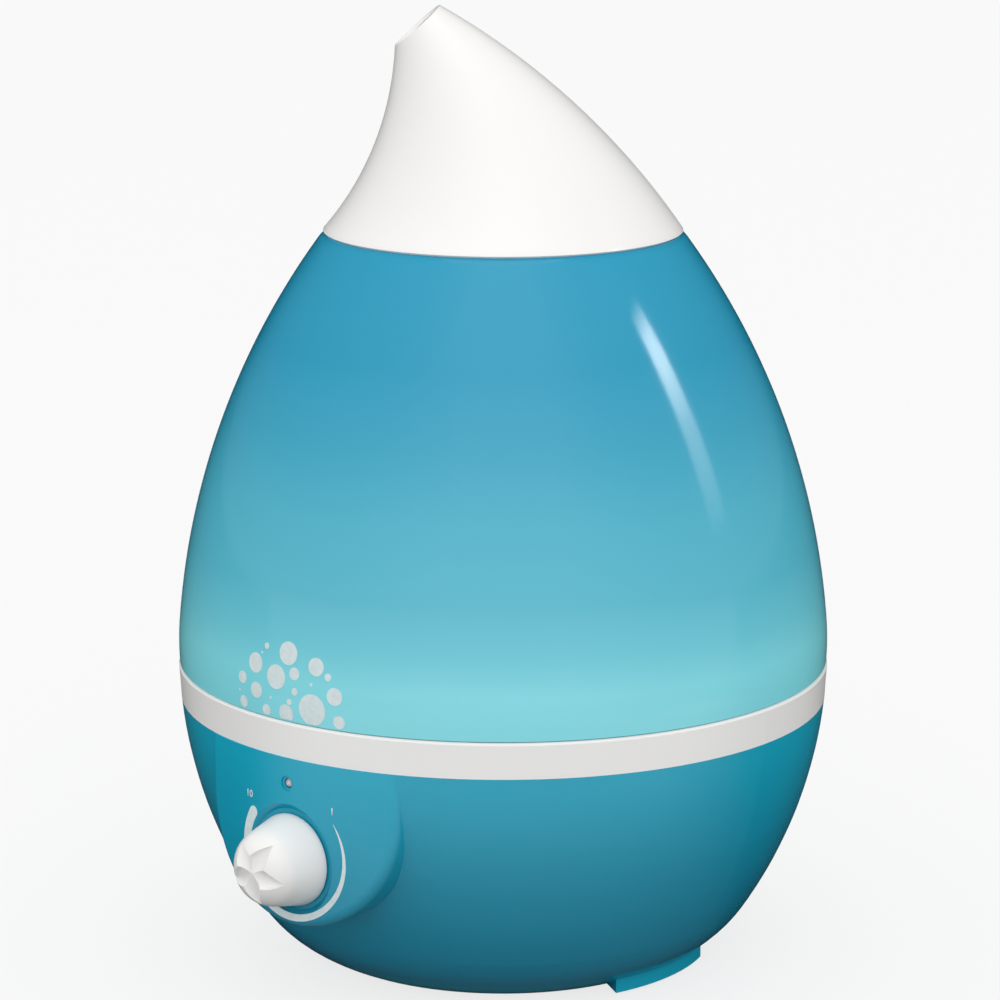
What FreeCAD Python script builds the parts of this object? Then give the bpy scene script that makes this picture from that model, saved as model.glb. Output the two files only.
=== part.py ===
import FreeCAD, Part
import math
import os

# Drop-shaped ultrasonic cool mist humidifier. Millimetres, +Z up, the control panel faces -Y.
# The origin is on the upright axis of the body, in the plane that the foot pads stand on.

V = FreeCAD.Vector
UP = V(0, 0, 1)
FRONT = V(0, -1, 0)

# ---- overall form -------------------------------------------------------------------------
ring_radius = 107.5          # outer radius of the white ring, the widest part of the object
base_height = 86.9           # floor to the underside of the white ring
ring_height = 11.7
ring_edge_bevel = 0.8
tank_height = 142.4          # top of the ring to the tank's shoulder
tank_top_radius = 58.2
nozzle_height = 72.3

# ---- bowl (base housing) ------------------------------------------------------------------
floor_gap = 2.0              # floor to the flat underside of the bowl
bowl_wall = 2.6
bowl_widest_above_ring = 14.1
bowl_side_curve = 150.8      # radius of the side's long arc
bowl_corner_curve = 44.0     # radius of the arc that rolls under to the flat
bowl_corner_height = 18.3    # where the two arcs meet
lip_height = 3.5             # locating lip that stands inside the ring's skin
lip_thickness = 1.8

# ---- feet ---------------------------------------------------------------------------------
foot_lift = 0.8              # rubber that shows under each moulded foot
foot_top = 5.4               # height where the foot's face meets the bowl
foot_end_y = 22.9
foot_wedge_apex = 31.6       # the foot's two end faces would meet at this distance from the axis
foot_inner_radius = 58.5
pad_inset = 2.2
pad_recess = 1.2
small_pad_radius = 5.5
small_pad_from_axis = 44.0

# ---- control panel ------------------------------------------------------------------------
panel_half_width = 38.8      # also the radius of its round lower end
panel_centre_height = 70.2   # centre of that round end
panel_edge_round = 3.4
panel_proud = 0.3            # the panel's face stands out this far past the ring's lower edge
dial_height = 53.3           # height of the knob's axis
dish_radius = 18.6
dish_floor_radius = 16.4
dish_depth = 2.3
dish_backing_radius = 20.4
led_height = 78.5
led_radius = 1.5
led_ring_radius = 2.5
led_ring_depth = 0.5

# ---- knob and potentiometer ---------------------------------------------------------------
knob_radius = 15.0
knob_height = 19.7
knob_side_draft = 4.5        # the side would lean in by this much over the full height
knob_shoulder_round = 10.7
knob_dome_radius = 68.0
knob_lift = 0.5              # gap between the knob's skirt and the dish
knob_scoops = 5              # pointed hollows in the knob's face, together a star
knob_scoop_heading = -14.0   # the first one, from the right-hand side
knob_scoop_reach = 11.0      # their tips, from the knob's axis
knob_scoop_depth = 1.1       # where they meet, below the crown
knob_scoop_spread = 26.0     # half the angle at the tip
knob_cavity_radius = 6.8
knob_cavity_depth = 4.0
shaft_radius = 3.0
shaft_length = 16.8
shaft_play = 0.05
bush_radius = 3.5
bush_length = 5.7
nut_radius = 5.2
nut_thickness = 2.0
pot_radius = 8.0
pot_thickness = 5.1
board_thickness = 1.6
control_board_half_width = 20.0
control_board_low = 40.0
control_board_high = 84.0

# ---- basin (the tray under the tank, with the white ring as its rim) ----------------------
basin_wall = 2.4
seat_width = 4.5             # flat top of the ring
shelf_drop = 4.1             # ring top to the inner shelf
tray_radius = 92.0
tray_draft = 2.5
tray_drop = 38.6             # ring top to the tray floor
sump_depth = 7.4             # tray floor to the floor over the transducer
sump_radius = 26.0
cap_centre_y = 52.0
float_x = -50.0
float_y = -10.0
chimney_x = 44.0
chimney_y = -10.0
chimney_length_x = 22.0
chimney_length_y = 26.0
chimney_wall = 1.6
chimney_drop = 6.6           # ring top to the chimney's open top
chimney_collar = 3.6
post_circle = 56.0
post_radius = 4.5
post_angles = (40, 130, 220, 310)
post_foot_height = 22.0

# ---- transducer ---------------------------------------------------------------------------
disc_radius = 12.5
disc_thickness = 1.2
seal_radius = 13.8
seal_height = 4.0
window_radius = 10.5
retainer_radius = 22.5
retainer_thickness = 2.4
retainer_screw_circle = 19.0

# ---- float --------------------------------------------------------------------------------
float_radius = 11.5
float_height = 12.0
float_lift = 8.0             # travel from empty to full
float_post_radius = 3.5
float_rest_gap = 0.8
magnet_radius = 7.5
magnet_height = 3.0
clip_radius = 6.2
clip_thickness = 2.0
reed_radius = 1.2
reed_length = 14.0
reed_bore = 2.0

# ---- fan and electronics ------------------------------------------------------------------
fan_x = 34.0
fan_y = -9.0
fan_size = 40.0
fan_depth = 10.0
fan_bottom = 14.0
fan_bore = 18.6
fan_tip_gap = 0.7
fan_hub_radius = 8.0
fan_blades = 7
fan_screw_offset = 16.0
fan_axle_radius = 1.5
duct_wall = 1.6
duct_straight = 6.0          # upright run of the duct under the chimney's collar
duct_flange = 1.4
duct_low_corner = 15.0
duct_high_corner = 3.0
duct_fit = 0.3
grille_radius = 21.5
grille_opening = 18.5
grille_thickness = 2.0
grille_slot = 2.4
grille_bar = 2.0
grille_rim = 1.6
driver_low_x = -26.0
driver_high_x = 22.0
driver_low_y = 22.0
driver_high_y = 56.0
driver_bottom = 16.0
driver_screw_inset = 4.0
heat_sink_fins = 6
socket_height = 21.0
socket_face_y = 74.5
socket_pocket_half = 9.0
socket_barrel_radius = 4.0
socket_bore_radius = 2.75
socket_pin_radius = 1.0
socket_length = 15.0

# ---- tank ---------------------------------------------------------------------------------
tank_wall = 2.4
tank_seat_gap = 0.3
tank_inset = 0.1             # the tank's widest place lies this far inside the ring's outer radius
tank_widest_above_ring = 6.5
tank_lower_curve = 84.5
tank_joint_above_ring = 13.4
recess_ledge = 7.2           # width of the shoulder under the nozzle
recess_depth = 12.0
floor_thickness = 2.6
skirt_gap = 0.6
neck_radius = 20.0
neck_wall = 2.4
neck_length = 13.0
tube_bore = 17.0
tube_wall = 2.0
tube_below_floor = 13.0
tube_socket_depth = 7.6
tube_seal_height = 1.6

# ---- tank cap and valve -------------------------------------------------------------------
cap_radius = 24.5
cap_skirt_wall = 4.1
cap_plate = 3.0
cap_ribs = 12
gasket_height = 1.7
housing_radius = 13.0
housing_wall = 2.0
housing_depth = 15.0
valve_port_radius = 7.0
valve_seat_height = 2.4
valve_stroke = 3.0
valve_seal_radius = 9.8
valve_seal_height = 2.0
stem_radius = 2.5
stem_below_seat = 2.2
spring_radius = 4.6
spring_wire = 0.45
spring_turns = 3.5
pin_gap = 0.3

# ---- nozzle -------------------------------------------------------------------------------
nozzle_gap = 0.3             # between the tank's shoulder and the nozzle
nozzle_wall = 2.0
nozzle_overhang = 0.3
nozzle_heading = -50.8       # degrees from the front, turned towards -X
lean_curve = 97.7            # hollow side, under the outlet
back_curve = 240.1           # full side, opposite the outlet
tip_offset = -20.3
outlet_offset = -34.8
outlet_drop = 12.8           # tip to the lower end of the slanted outlet
web_rise = 1.2
web_thickness = 2.0
collar_wall = 1.8
collar_gap = 0.6
collar_turn_gap = 0.45
lug_overlap = 1.5
lug_thickness = 1.8
lug_count = 4
lug_span = 34.0
baffle_radius = 22.0
baffle_rise = 22.0
baffle_thickness = 1.8
baffle_crown = 3.0
leg_count = 3

# ---- small screws -------------------------------------------------------------------------
screw_head_radius = 2.7
screw_head_height = 1.6
screw_radius = 1.3
running_gap = 0.3

# ---- heights and places that follow -------------------------------------------------------
ring_top = base_height + ring_height
tank_bottom = ring_top + tank_seat_gap
tank_top = ring_top + tank_height
nozzle_bottom = tank_top + nozzle_gap
bowl_inside = floor_gap + bowl_wall
shelf_height = ring_top - shelf_drop
tray_floor = ring_top - tray_drop
sump_floor = tray_floor - sump_depth
tank_floor_under = ring_top + 0.7
tank_floor_top = tank_floor_under + floor_thickness
neck_end = tank_floor_under - neck_length
cap_top = tank_floor_under - 1.8
cap_plate_top = neck_end - gasket_height
cap_plate_under = cap_plate_top - cap_plate
cap_bottom = cap_plate_under - housing_depth
seat_top = cap_bottom + valve_seat_height
seal_low = seat_top + valve_stroke + 0.05
plunger_shoulder = seal_low + valve_seal_height
plunger_head = plunger_shoulder + 1.5
recess_radius = tank_top_radius - recess_ledge
recess_floor = tank_top - recess_depth
tube_seal_top = recess_floor - tank_wall
tube_top = tube_seal_top - tube_seal_height
web_low = nozzle_bottom + web_rise
web_high = web_low + web_thickness
tip_height = nozzle_bottom + nozzle_height


def point(radius, height):
    return V(radius, 0, height)


def outline(*steps):
    """Closed face in the XZ plane. A step is an end point, or a (through, end) pair for an arc."""
    here = steps[0]
    edges = []
    for step in steps[1:] + (steps[0],):
        if isinstance(step[0], tuple):
            through, end = step
            edges.append(Part.Arc(point(*here), point(*through), point(*end)).toShape())
        else:
            end = step
            edges.append(Part.LineSegment(point(*here), point(*end)).toShape())
        here = end
    return Part.Face(Part.Wire(edges))


def turned(*steps):
    return outline(*steps).revolve(V(0, 0, 0), UP, 360)


def disc(radius, low, high, x=0.0, y=0.0):
    return Part.makeCylinder(radius, high - low, V(x, y, low), UP)


def ring(outer, inner, low, high, x=0.0, y=0.0):
    return disc(outer, low, high, x, y).cut(disc(inner, low - 1, high + 1, x, y))


def block(x0, x1, y0, y1, z0, z1):
    return Part.makeBox(x1 - x0, y1 - y0, z1 - z0, V(x0, y0, z0))


def forward(radius, back_y, front_y, height, x=0.0):
    """Round bar that runs towards the front, from back_y to front_y."""
    return Part.makeCylinder(radius, back_y - front_y, V(x, back_y, height), FRONT)


def around(shape, angles):
    copies = []
    for angle in angles:
        copy = shape.copy()
        copy.rotate(V(0, 0, 0), UP, angle)
        copies.append(copy)
    return copies


def joined(shapes):
    return shapes[0].multiFuse(shapes[1:]).removeSplitter()


def even_angles(count, first=0.0):
    return [first + 360.0 * i / count for i in range(count)]


def polar(radius, degrees):
    return radius * math.cos(math.radians(degrees)), radius * math.sin(math.radians(degrees))


# ---- curves of the body -------------------------------------------------------------------
bowl_widest = base_height + bowl_widest_above_ring
bowl_sine = (bowl_corner_height - bowl_widest) / bowl_side_curve
bowl_cosine = math.sqrt(1 - bowl_sine ** 2)
bowl_corner_r = ring_radius - bowl_side_curve * (1 - bowl_cosine) - bowl_corner_curve * bowl_cosine
bowl_corner_z = bowl_corner_height - bowl_corner_curve * bowl_sine


def bowl_joint(inset):
    return bowl_widest + (bowl_side_curve - inset) * bowl_sine


def bowl_radius(height, inset=0.0):
    """Radius of the bowl's outside at a height, or of the surface lying inset within it."""
    if height >= bowl_joint(inset):
        reach = bowl_side_curve - inset
        return ring_radius - bowl_side_curve + math.sqrt(reach ** 2 - (height - bowl_widest) ** 2)
    reach = bowl_corner_curve - inset
    return bowl_corner_r + math.sqrt(reach ** 2 - (height - bowl_corner_z) ** 2)


tank_widest = ring_top + tank_widest_above_ring
tank_widest_radius = ring_radius - tank_inset
tank_joint_height = ring_top + tank_joint_above_ring
tank_sine = (tank_joint_height - tank_widest) / tank_lower_curve
tank_cosine = math.sqrt(1 - tank_sine ** 2)
tank_joint_radius = tank_widest_radius - tank_lower_curve * (1 - tank_cosine)
rise_r = tank_top_radius - tank_joint_radius
rise_z = tank_top - tank_joint_height
tank_upper_curve = -(rise_r ** 2 + rise_z ** 2) / (2 * (rise_r * tank_cosine + rise_z * tank_sine))
tank_upper_r = tank_joint_radius - tank_upper_curve * tank_cosine
tank_upper_z = tank_joint_height - tank_upper_curve * tank_sine


def tank_joint(inset):
    return tank_widest + (tank_lower_curve - inset) * tank_sine


def tank_radius(height, inset=0.0):
    """Radius of the tank's outside at a height, or of the surface lying inset within it."""
    if height <= tank_joint(inset):
        reach = tank_lower_curve - inset
        return tank_widest_radius - tank_lower_curve + math.sqrt(reach ** 2 - (height - tank_widest) ** 2)
    reach = tank_upper_curve - inset
    return tank_upper_r + math.sqrt(reach ** 2 - (height - tank_upper_z) ** 2)


def side(radius_at, low, high, inset=0.0):
    """Arc step from low to high along one of the body's curves."""
    middle = (low + high) / 2
    return (radius_at(middle, inset), middle), (radius_at(high, inset), high)


def bands(radius_at, low, high, inset, count):
    """Straight steps from low to high along one of the curves, for inside walls that carry nothing."""
    heights = [low + (high - low) * (i + 1) / count for i in range(count)]
    return [(radius_at(height, inset), height) for height in heights]


# ---- values shared between pieces ---------------------------------------------------------
rim_radius = bowl_radius(base_height)
panel_radius = rim_radius + panel_proud
panel_inner_radius = panel_radius - bowl_wall
dish_floor_y = dish_depth - panel_radius
dish_back_y = dish_floor_y + bowl_wall
board_front_y = dish_back_y + running_gap + pot_thickness
skin_inner = rim_radius - bowl_wall
tray_outer = tray_radius + basin_wall
foot_radius = bowl_radius(foot_top)
fan_top = fan_bottom + fan_depth
driver_top = driver_bottom + board_thickness
grille_top = floor_gap + grille_thickness
post_places = [polar(post_circle, angle) for angle in post_angles]
fan_places = [(fan_x + sx * fan_screw_offset, fan_y + sy * fan_screw_offset)
              for sx in (-1, 1) for sy in (-1, 1)]
driver_places = [(x, y) for x in (driver_low_x + driver_screw_inset, driver_high_x - driver_screw_inset)
                 for y in (driver_low_y + driver_screw_inset, driver_high_y - driver_screw_inset)]
board_screw_x = control_board_half_width - 4.0
board_screw_height = control_board_high - 6.0


# ---- bowl ---------------------------------------------------------------------------------
def panel_prism(inset, back_y):
    """U-shaped bar along Y: the panel's outline seen from the front, down from the ring."""
    half = panel_half_width - inset
    start = (-half, base_height)
    face = outline(start, (-half, panel_centre_height),
                   ((0.0, panel_centre_height - half), (half, panel_centre_height)), (half, base_height))
    bar = face.extrude(V(0, -2 * ring_radius, 0))
    bar.translate(V(0, back_y, 0))
    return bar


def panel_block():
    """The panel's raised block, an upright cylinder's face with a rounded edge all round."""
    raised = panel_prism(0.0, -ring_radius / 2).common(disc(panel_radius, 0, base_height))
    front_edges = []
    for edge in raised.Edges:
        middle = edge.valueAt((edge.FirstParameter + edge.LastParameter) / 2)
        on_face = abs(math.hypot(middle.x, middle.y) - panel_radius) < 0.01
        if on_face and middle.z < base_height - 0.01 and middle.y < 0:
            front_edges.append(edge)
    return raised.makeFillet(panel_edge_round, front_edges)


def foot(side_sign):
    """Moulded foot under one side of the bowl, its end faces closing in towards the middle."""
    slope = foot_end_y / (bowl_radius(foot_top) - foot_wedge_apex - 4.0)
    far = ring_radius
    spread = slope * (far - foot_wedge_apex)
    corners = [V(side_sign * foot_wedge_apex, 0, foot_lift), V(side_sign * far, spread, foot_lift),
               V(side_sign * far, -spread, foot_lift)]
    wedge = Part.Face(Part.makePolygon(corners + corners[:1])).extrude(V(0, 0, bowl_inside))
    return wedge.common(ring(foot_radius, foot_inner_radius, 0, base_height))


def foot_pad(side_sign, fit=0.0):
    """Rubber strip let into the underside of one moulded foot."""
    strip = ring(foot_radius - pad_inset + fit, foot_inner_radius + pad_inset - fit, 0, foot_lift + pad_recess)
    half_y = foot_end_y - 3 * pad_inset + fit
    return strip.common(block(*sorted((0, side_sign * ring_radius)), -half_y, half_y, -1, ring_top))


def base_housing():
    base_flat = bowl_radius(floor_gap)
    bowl_middle = (bowl_joint(0) + base_height) / 2
    outer = turned((0, floor_gap), (base_flat, floor_gap),
                   side(bowl_radius, floor_gap, bowl_joint(0)),
                   side(bowl_radius, bowl_joint(0), bowl_middle),
                   side(bowl_radius, bowl_middle, base_height), (0, base_height))
    body = joined([outer, panel_block(), foot(1), foot(-1)])
    inner_top = base_height + 1
    cavity = turned((0, bowl_inside), (bowl_radius(bowl_inside, bowl_wall), bowl_inside),
                    *bands(bowl_radius, bowl_inside, bowl_joint(bowl_wall), bowl_wall, 3),
                    *bands(bowl_radius, bowl_joint(bowl_wall), inner_top, bowl_wall, 3), (0, inner_top))
    panel_room = panel_prism(bowl_wall, -ring_radius / 2).common(disc(panel_inner_radius, 0, base_height))
    backing = forward(dish_backing_radius, dish_back_y, -panel_radius, dial_height)
    body = body.cut(joined([cavity, panel_room.cut(backing)]))

    inner_low = base_height - 6.0
    lip_outer = skin_inner - running_gap
    lip = turned((skin_inner + 0.4, inner_low), (skin_inner + 0.4, base_height), (lip_outer, base_height),
                 (lip_outer, base_height + lip_height), (lip_outer - lip_thickness, base_height + lip_height),
                 (lip_outer - lip_thickness, inner_low + lip_thickness))
    bosses = [disc(post_radius + 1.2, floor_gap + 1, post_foot_height, x, y) for x, y in post_places]
    bosses += [disc(3.0, floor_gap + 1, fan_bottom, x, y) for x, y in fan_places]
    bosses += [disc(3.0, floor_gap + 1, driver_bottom, x, y) for x, y in driver_places]
    bosses.append(disc(grille_radius + 2.5, floor_gap + 1, bowl_inside + 1.6, fan_x, fan_y))
    for sign in (-1, 1):
        x = sign * board_screw_x
        bosses.append(forward(2.6, board_front_y, -panel_inner_radius, board_screw_height, x))
    body = joined([body, lip] + bosses)

    pocket_half = socket_pocket_half
    housing_half = pocket_half + bowl_wall
    pocket_shell = block(-housing_half, housing_half, socket_face_y - bowl_wall, ring_radius,
                         socket_height - housing_half, socket_height + housing_half).common(outer)
    body = joined([body, pocket_shell])
    openings = [block(-pocket_half, pocket_half, socket_face_y, ring_radius + 5,
                      socket_height - pocket_half, socket_height + pocket_half)]
    openings.append(Part.makeCylinder(socket_barrel_radius + 0.1, 12, V(0, socket_face_y - 6, socket_height),
                                      V(0, 1, 0)))
    dish = Part.makeCone(dish_radius + 0.8, dish_floor_radius, dish_depth + 0.8,
                         V(0, -panel_radius - 0.8, dial_height), V(0, 1, 0))
    openings.append(dish)
    openings.append(forward(bush_radius + 0.2, dish_back_y + 1, -panel_radius - 1, dial_height))
    openings.append(forward(led_radius + 0.1, -panel_inner_radius + 3, -panel_radius - 1, led_height))
    openings.append(forward(led_ring_radius, led_ring_depth - panel_radius, -panel_radius - 1, led_height))
    openings.append(disc(grille_opening, 0, bowl_inside + 3, fan_x, fan_y))
    openings.append(disc(grille_radius + 0.1, 0, grille_top, fan_x, fan_y))
    for x, y in post_places:
        openings.append(disc(screw_radius + 0.2, 0, post_foot_height + 1, x, y))
        openings.append(disc(screw_head_radius + 0.3, 0, post_foot_height - bowl_wall, x, y))
    for x, y in fan_places:
        openings.append(disc(screw_radius, fan_bottom - 7, fan_bottom + 1, x, y))
    for x, y in driver_places:
        openings.append(disc(screw_radius, driver_bottom - 7, driver_bottom + 1, x, y))
    for sign in (-1, 1):
        openings.append(forward(screw_radius, board_front_y + 1, board_front_y - 4,
                                board_screw_height, sign * board_screw_x))
        openings.append(foot_pad(sign, 0.1))
    return body.cut(joined(openings))


def foot_pads():
    small = [disc(small_pad_radius, 0, floor_gap, 0, sign * small_pad_from_axis) for sign in (-1, 1)]
    return Part.makeCompound([foot_pad(1), foot_pad(-1)] + small)


def intake_grille():
    """Round clip-in cover under the fan: parallel bars across an opening, tied by a spine."""
    pitch = grille_slot + grille_bar
    reach = grille_opening - grille_rim
    rows = int((reach - grille_slot) // pitch)
    plate = disc(grille_radius, floor_gap, grille_top, fan_x, fan_y)
    rim = ring(grille_opening - 0.1, reach, floor_gap, bowl_inside + 1.6, fan_x, fan_y)
    body = joined([plate, rim])
    slots = []
    for row in range(-rows, rows + 1):
        y = fan_y + row * pitch
        half = math.sqrt(reach ** 2 - (abs(row) * pitch + grille_slot / 2) ** 2)
        for low, high in ((-half, -grille_bar / 2), (grille_bar / 2, half)):
            slots.append(block(fan_x + low, fan_x + high, y - grille_slot / 2, y + grille_slot / 2,
                               floor_gap - 1, grille_top + 1))
    return body.cut(joined(slots))


# ---- basin --------------------------------------------------------------------------------
def basin():
    edge = ring_edge_bevel
    seat_inner = ring_radius - seat_width
    body = turned((skin_inner, base_height), (rim_radius, base_height), (ring_radius, ring_top - edge),
                  (ring_radius - edge, ring_top), (seat_inner, ring_top), (seat_inner, shelf_height),
                  (tray_radius, shelf_height),
                  (tray_radius - tray_draft, tray_floor), (0, tray_floor), (0, tray_floor - basin_wall),
                  (tray_outer - tray_draft, tray_floor - basin_wall), (tray_outer, shelf_height - basin_wall),
                  (skin_inner, shelf_height - basin_wall))
    wall = basin_wall
    sump_outside = disc(sump_radius + wall, sump_floor - wall, tray_floor)
    sump = disc(sump_radius, sump_floor, tray_floor + 1)
    seat = ring(seal_radius + wall, seal_radius + 0.1, sump_floor - wall - seal_height, sump_floor)
    bosses = []
    for x, y in [polar(retainer_screw_circle, a) for a in even_angles(3, 90)]:
        bosses.append(disc(3.2, sump_floor - wall - seal_height, sump_floor - wall + 0.5, x, y))
    posts = [disc(post_radius, post_foot_height, tray_floor - wall + 0.5, x, y) for x, y in post_places]
    half_x = chimney_length_x / 2
    half_y = chimney_length_y / 2
    grown = chimney_wall
    chimney_low = tray_floor - wall - chimney_collar
    chimney_high = ring_top - chimney_drop
    chimney = block(chimney_x - half_x - grown, chimney_x + half_x + grown, chimney_y - half_y - grown,
                    chimney_y + half_y + grown, chimney_low, chimney_high)
    post_top = tray_floor + float_rest_gap + float_height + float_lift + 1.0 + clip_thickness
    float_post = disc(float_post_radius, tray_floor - wall, post_top, float_x, float_y)
    pin_top = cap_bottom - stem_below_seat - pin_gap
    pin = disc(stem_radius - 0.3, tray_floor - 0.5, pin_top, 0, cap_centre_y)
    fins = []
    for turn in (0, 90):
        fin = block(-5, 5, -0.8, 0.8, tray_floor - 0.5, pin_top - 2.5)
        fin.rotate(V(0, 0, 0), UP, turn)
        fin.translate(V(0, cap_centre_y, 0))
        fins.append(fin)
    body = joined([body, seat, chimney, sump_outside] + bosses + posts)
    body = joined([body.cut(sump), float_post, pin] + fins)
    chimney_bore = block(chimney_x - half_x, chimney_x + half_x, chimney_y - half_y, chimney_y + half_y,
                         chimney_low - 1, chimney_high + 1)
    holes = [disc(window_radius, sump_floor - wall - 1, sump_floor + 1), chimney_bore,
             disc(reed_bore, tray_floor - wall - 1, post_top - 2.0, float_x, float_y)]
    for x, y in post_places:
        holes.append(disc(screw_radius, post_foot_height - 1, post_foot_height + 12, x, y))
    for x, y in [polar(retainer_screw_circle, a) for a in even_angles(3, 90)]:
        holes.append(disc(screw_radius, sump_floor - wall - seal_height - 1, sump_floor - wall - 1, x, y))
    return body.cut(joined(holes))


def screws(places, head_low, length, upward):
    """Group of identical small pan-head screws; upward ones have their heads at the bottom."""
    bodies = []
    for x, y in places:
        head = disc(screw_head_radius, 0, screw_head_height)
        slot = block(-0.4, 0.4, -1.8, 1.8, -1, 0.7)
        across = block(-1.8, 1.8, -0.4, 0.4, -1, 0.7)
        shank = disc(screw_radius - 0.1, screw_head_height - 0.1, screw_head_height + length)
        one = joined([head.cut(joined([slot, across])), shank])
        if not upward:
            one.rotate(V(0, 0, 0), V(1, 0, 0), 180)
            one.translate(V(0, 0, screw_head_height))
        one.translate(V(x, y, head_low))
        bodies.append(one)
    return Part.makeCompound(bodies)


def basin_screws():
    head = post_foot_height - bowl_wall - screw_head_height
    return screws(post_places, head, bowl_wall + 10.0, True)


def transducer_disc():
    low = sump_floor - basin_wall - seal_height / 2 - disc_thickness / 2
    return disc(disc_radius, low, low + disc_thickness)


def transducer_seal():
    high = sump_floor - basin_wall
    body = ring(seal_radius, window_radius, high - seal_height, high)
    middle = high - seal_height / 2
    groove = disc(disc_radius, middle - disc_thickness / 2, middle + disc_thickness / 2)
    return body.cut(groove)


def transducer_retainer():
    high = sump_floor - basin_wall - seal_height
    plate = disc(retainer_radius, high - retainer_thickness, high)
    holes = [disc(screw_radius + 0.2, 0, base_height, *polar(retainer_screw_circle, a))
             for a in even_angles(3, 90)]
    holes.append(disc(window_radius - 2.5, 0, base_height))
    stiffener = ring(window_radius + 0.5, window_radius - 2.5, high - retainer_thickness - 1.5, high)
    return joined([plate.cut(joined(holes)), stiffener])


def retainer_screws():
    high = sump_floor - basin_wall - seal_height - retainer_thickness
    places = [polar(retainer_screw_circle, a) for a in even_angles(3, 90)]
    return screws(places, high - screw_head_height, retainer_thickness + 2.8, True)


def float_ring():
    low = tray_floor + float_rest_gap
    bore = float_post_radius + 0.5
    soft = 1.2
    body = turned((bore, low), (float_radius, low), (float_radius, low + float_height - soft),
                  (float_radius - soft, low + float_height), (bore, low + float_height))
    body.translate(V(float_x, float_y, 0))
    return body.cut(ring(magnet_radius + 0.1, bore + 0.5, low - 1, low + magnet_height + 0.1, float_x, float_y))


def float_magnet():
    low = tray_floor + float_rest_gap
    inner = float_post_radius + 1.2
    return ring(magnet_radius, inner, low, low + magnet_height, float_x, float_y)


def float_clip():
    low = tray_floor + float_rest_gap + float_height + float_lift + 1.0
    return ring(clip_radius, float_post_radius + 0.05, low, low + clip_thickness, float_x, float_y)


def reed_switch():
    low = tray_floor
    glass = disc(reed_radius, low, low + reed_length, float_x, float_y)
    lead = disc(0.4, low - basin_wall - 3.0, low + 1, float_x, float_y)
    return joined([glass, lead])


# ---- fan and air duct ---------------------------------------------------------------------
def fan_frame():
    half = fan_size / 2
    body = block(-half, half, -half, half, fan_bottom, fan_top)
    corners = [edge for edge in body.Edges if abs(edge.tangentAt(edge.FirstParameter).z) > 0.9]
    body = body.makeFillet(3.0, corners)
    body = body.cut(disc(fan_bore, fan_bottom - 1, fan_top + 1))
    hub_thickness = 1.5
    hub = disc(fan_hub_radius, fan_top - hub_thickness, fan_top)
    spokes = [block(fan_hub_radius - 1, fan_bore + 1, -1, 1, fan_top - hub_thickness, fan_top)]
    tube = disc(3.0, fan_bottom + 3.0, fan_top)
    body = joined([body, hub, tube] + around(spokes[0], even_angles(4, 45)))
    holes = [disc(fan_axle_radius + shaft_play, 0, fan_top - 0.8)]
    holes += [disc(screw_radius + 0.2, 0, base_height, x - fan_x, y - fan_y) for x, y in fan_places]
    body = body.cut(joined(holes))
    body.translate(V(fan_x, fan_y, 0))
    return body


def fan_rotor():
    low = fan_bottom + 1.0
    high = fan_top - 1.5 - 0.4
    cup = disc(fan_hub_radius, low, high).cut(disc(fan_hub_radius - 1.2, low + 1.4, high + 1))
    axle = disc(fan_axle_radius, low, fan_top - 1.2)
    blades = []
    sections = []
    tip = fan_bore - fan_tip_gap
    for radius, pitch in ((fan_hub_radius - 0.6, 52.0), (tip, 30.0)):
        chord = (high - low - 0.6) / math.sin(math.radians(52.0)) * (1.0 if radius > fan_hub_radius else 0.82)
        half = chord / 2
        thick = 0.5
        rise = math.sin(math.radians(pitch))
        run = math.cos(math.radians(pitch))
        middle = (low + high) / 2
        corners = []
        for along, across in ((-half, -thick), (half, -thick), (half, thick), (-half, thick)):
            corners.append(V(radius, along * run - across * rise, middle + along * rise + across * run))
        sections.append(Part.makePolygon(corners + corners[:1]))
    blade = Part.makeLoft(sections, True, True)
    blade = blade.common(ring(tip, fan_hub_radius - 0.6, low, high))
    blades = around(blade, even_angles(fan_blades))
    body = joined([cup, axle] + blades)
    body.translate(V(fan_x, fan_y, 0))
    return body


def fan_screws():
    return screws(fan_places, fan_top + duct_flange, duct_flange + fan_depth + 4.5, False)


def cornered(x, y, length_x, length_y, corner, height):
    """Level rectangle with its four corners cut off at 45 degrees."""
    half_x = length_x / 2
    half_y = length_y / 2
    around_it = [(half_x, corner - half_y), (half_x, half_y - corner), (half_x - corner, half_y),
                 (corner - half_x, half_y), (-half_x, half_y - corner), (-half_x, corner - half_y),
                 (corner - half_x, -half_y), (half_x - corner, -half_y)]
    points = [V(x + px, y + py, height) for px, py in around_it]
    return Part.makePolygon(points + points[:1])


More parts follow.
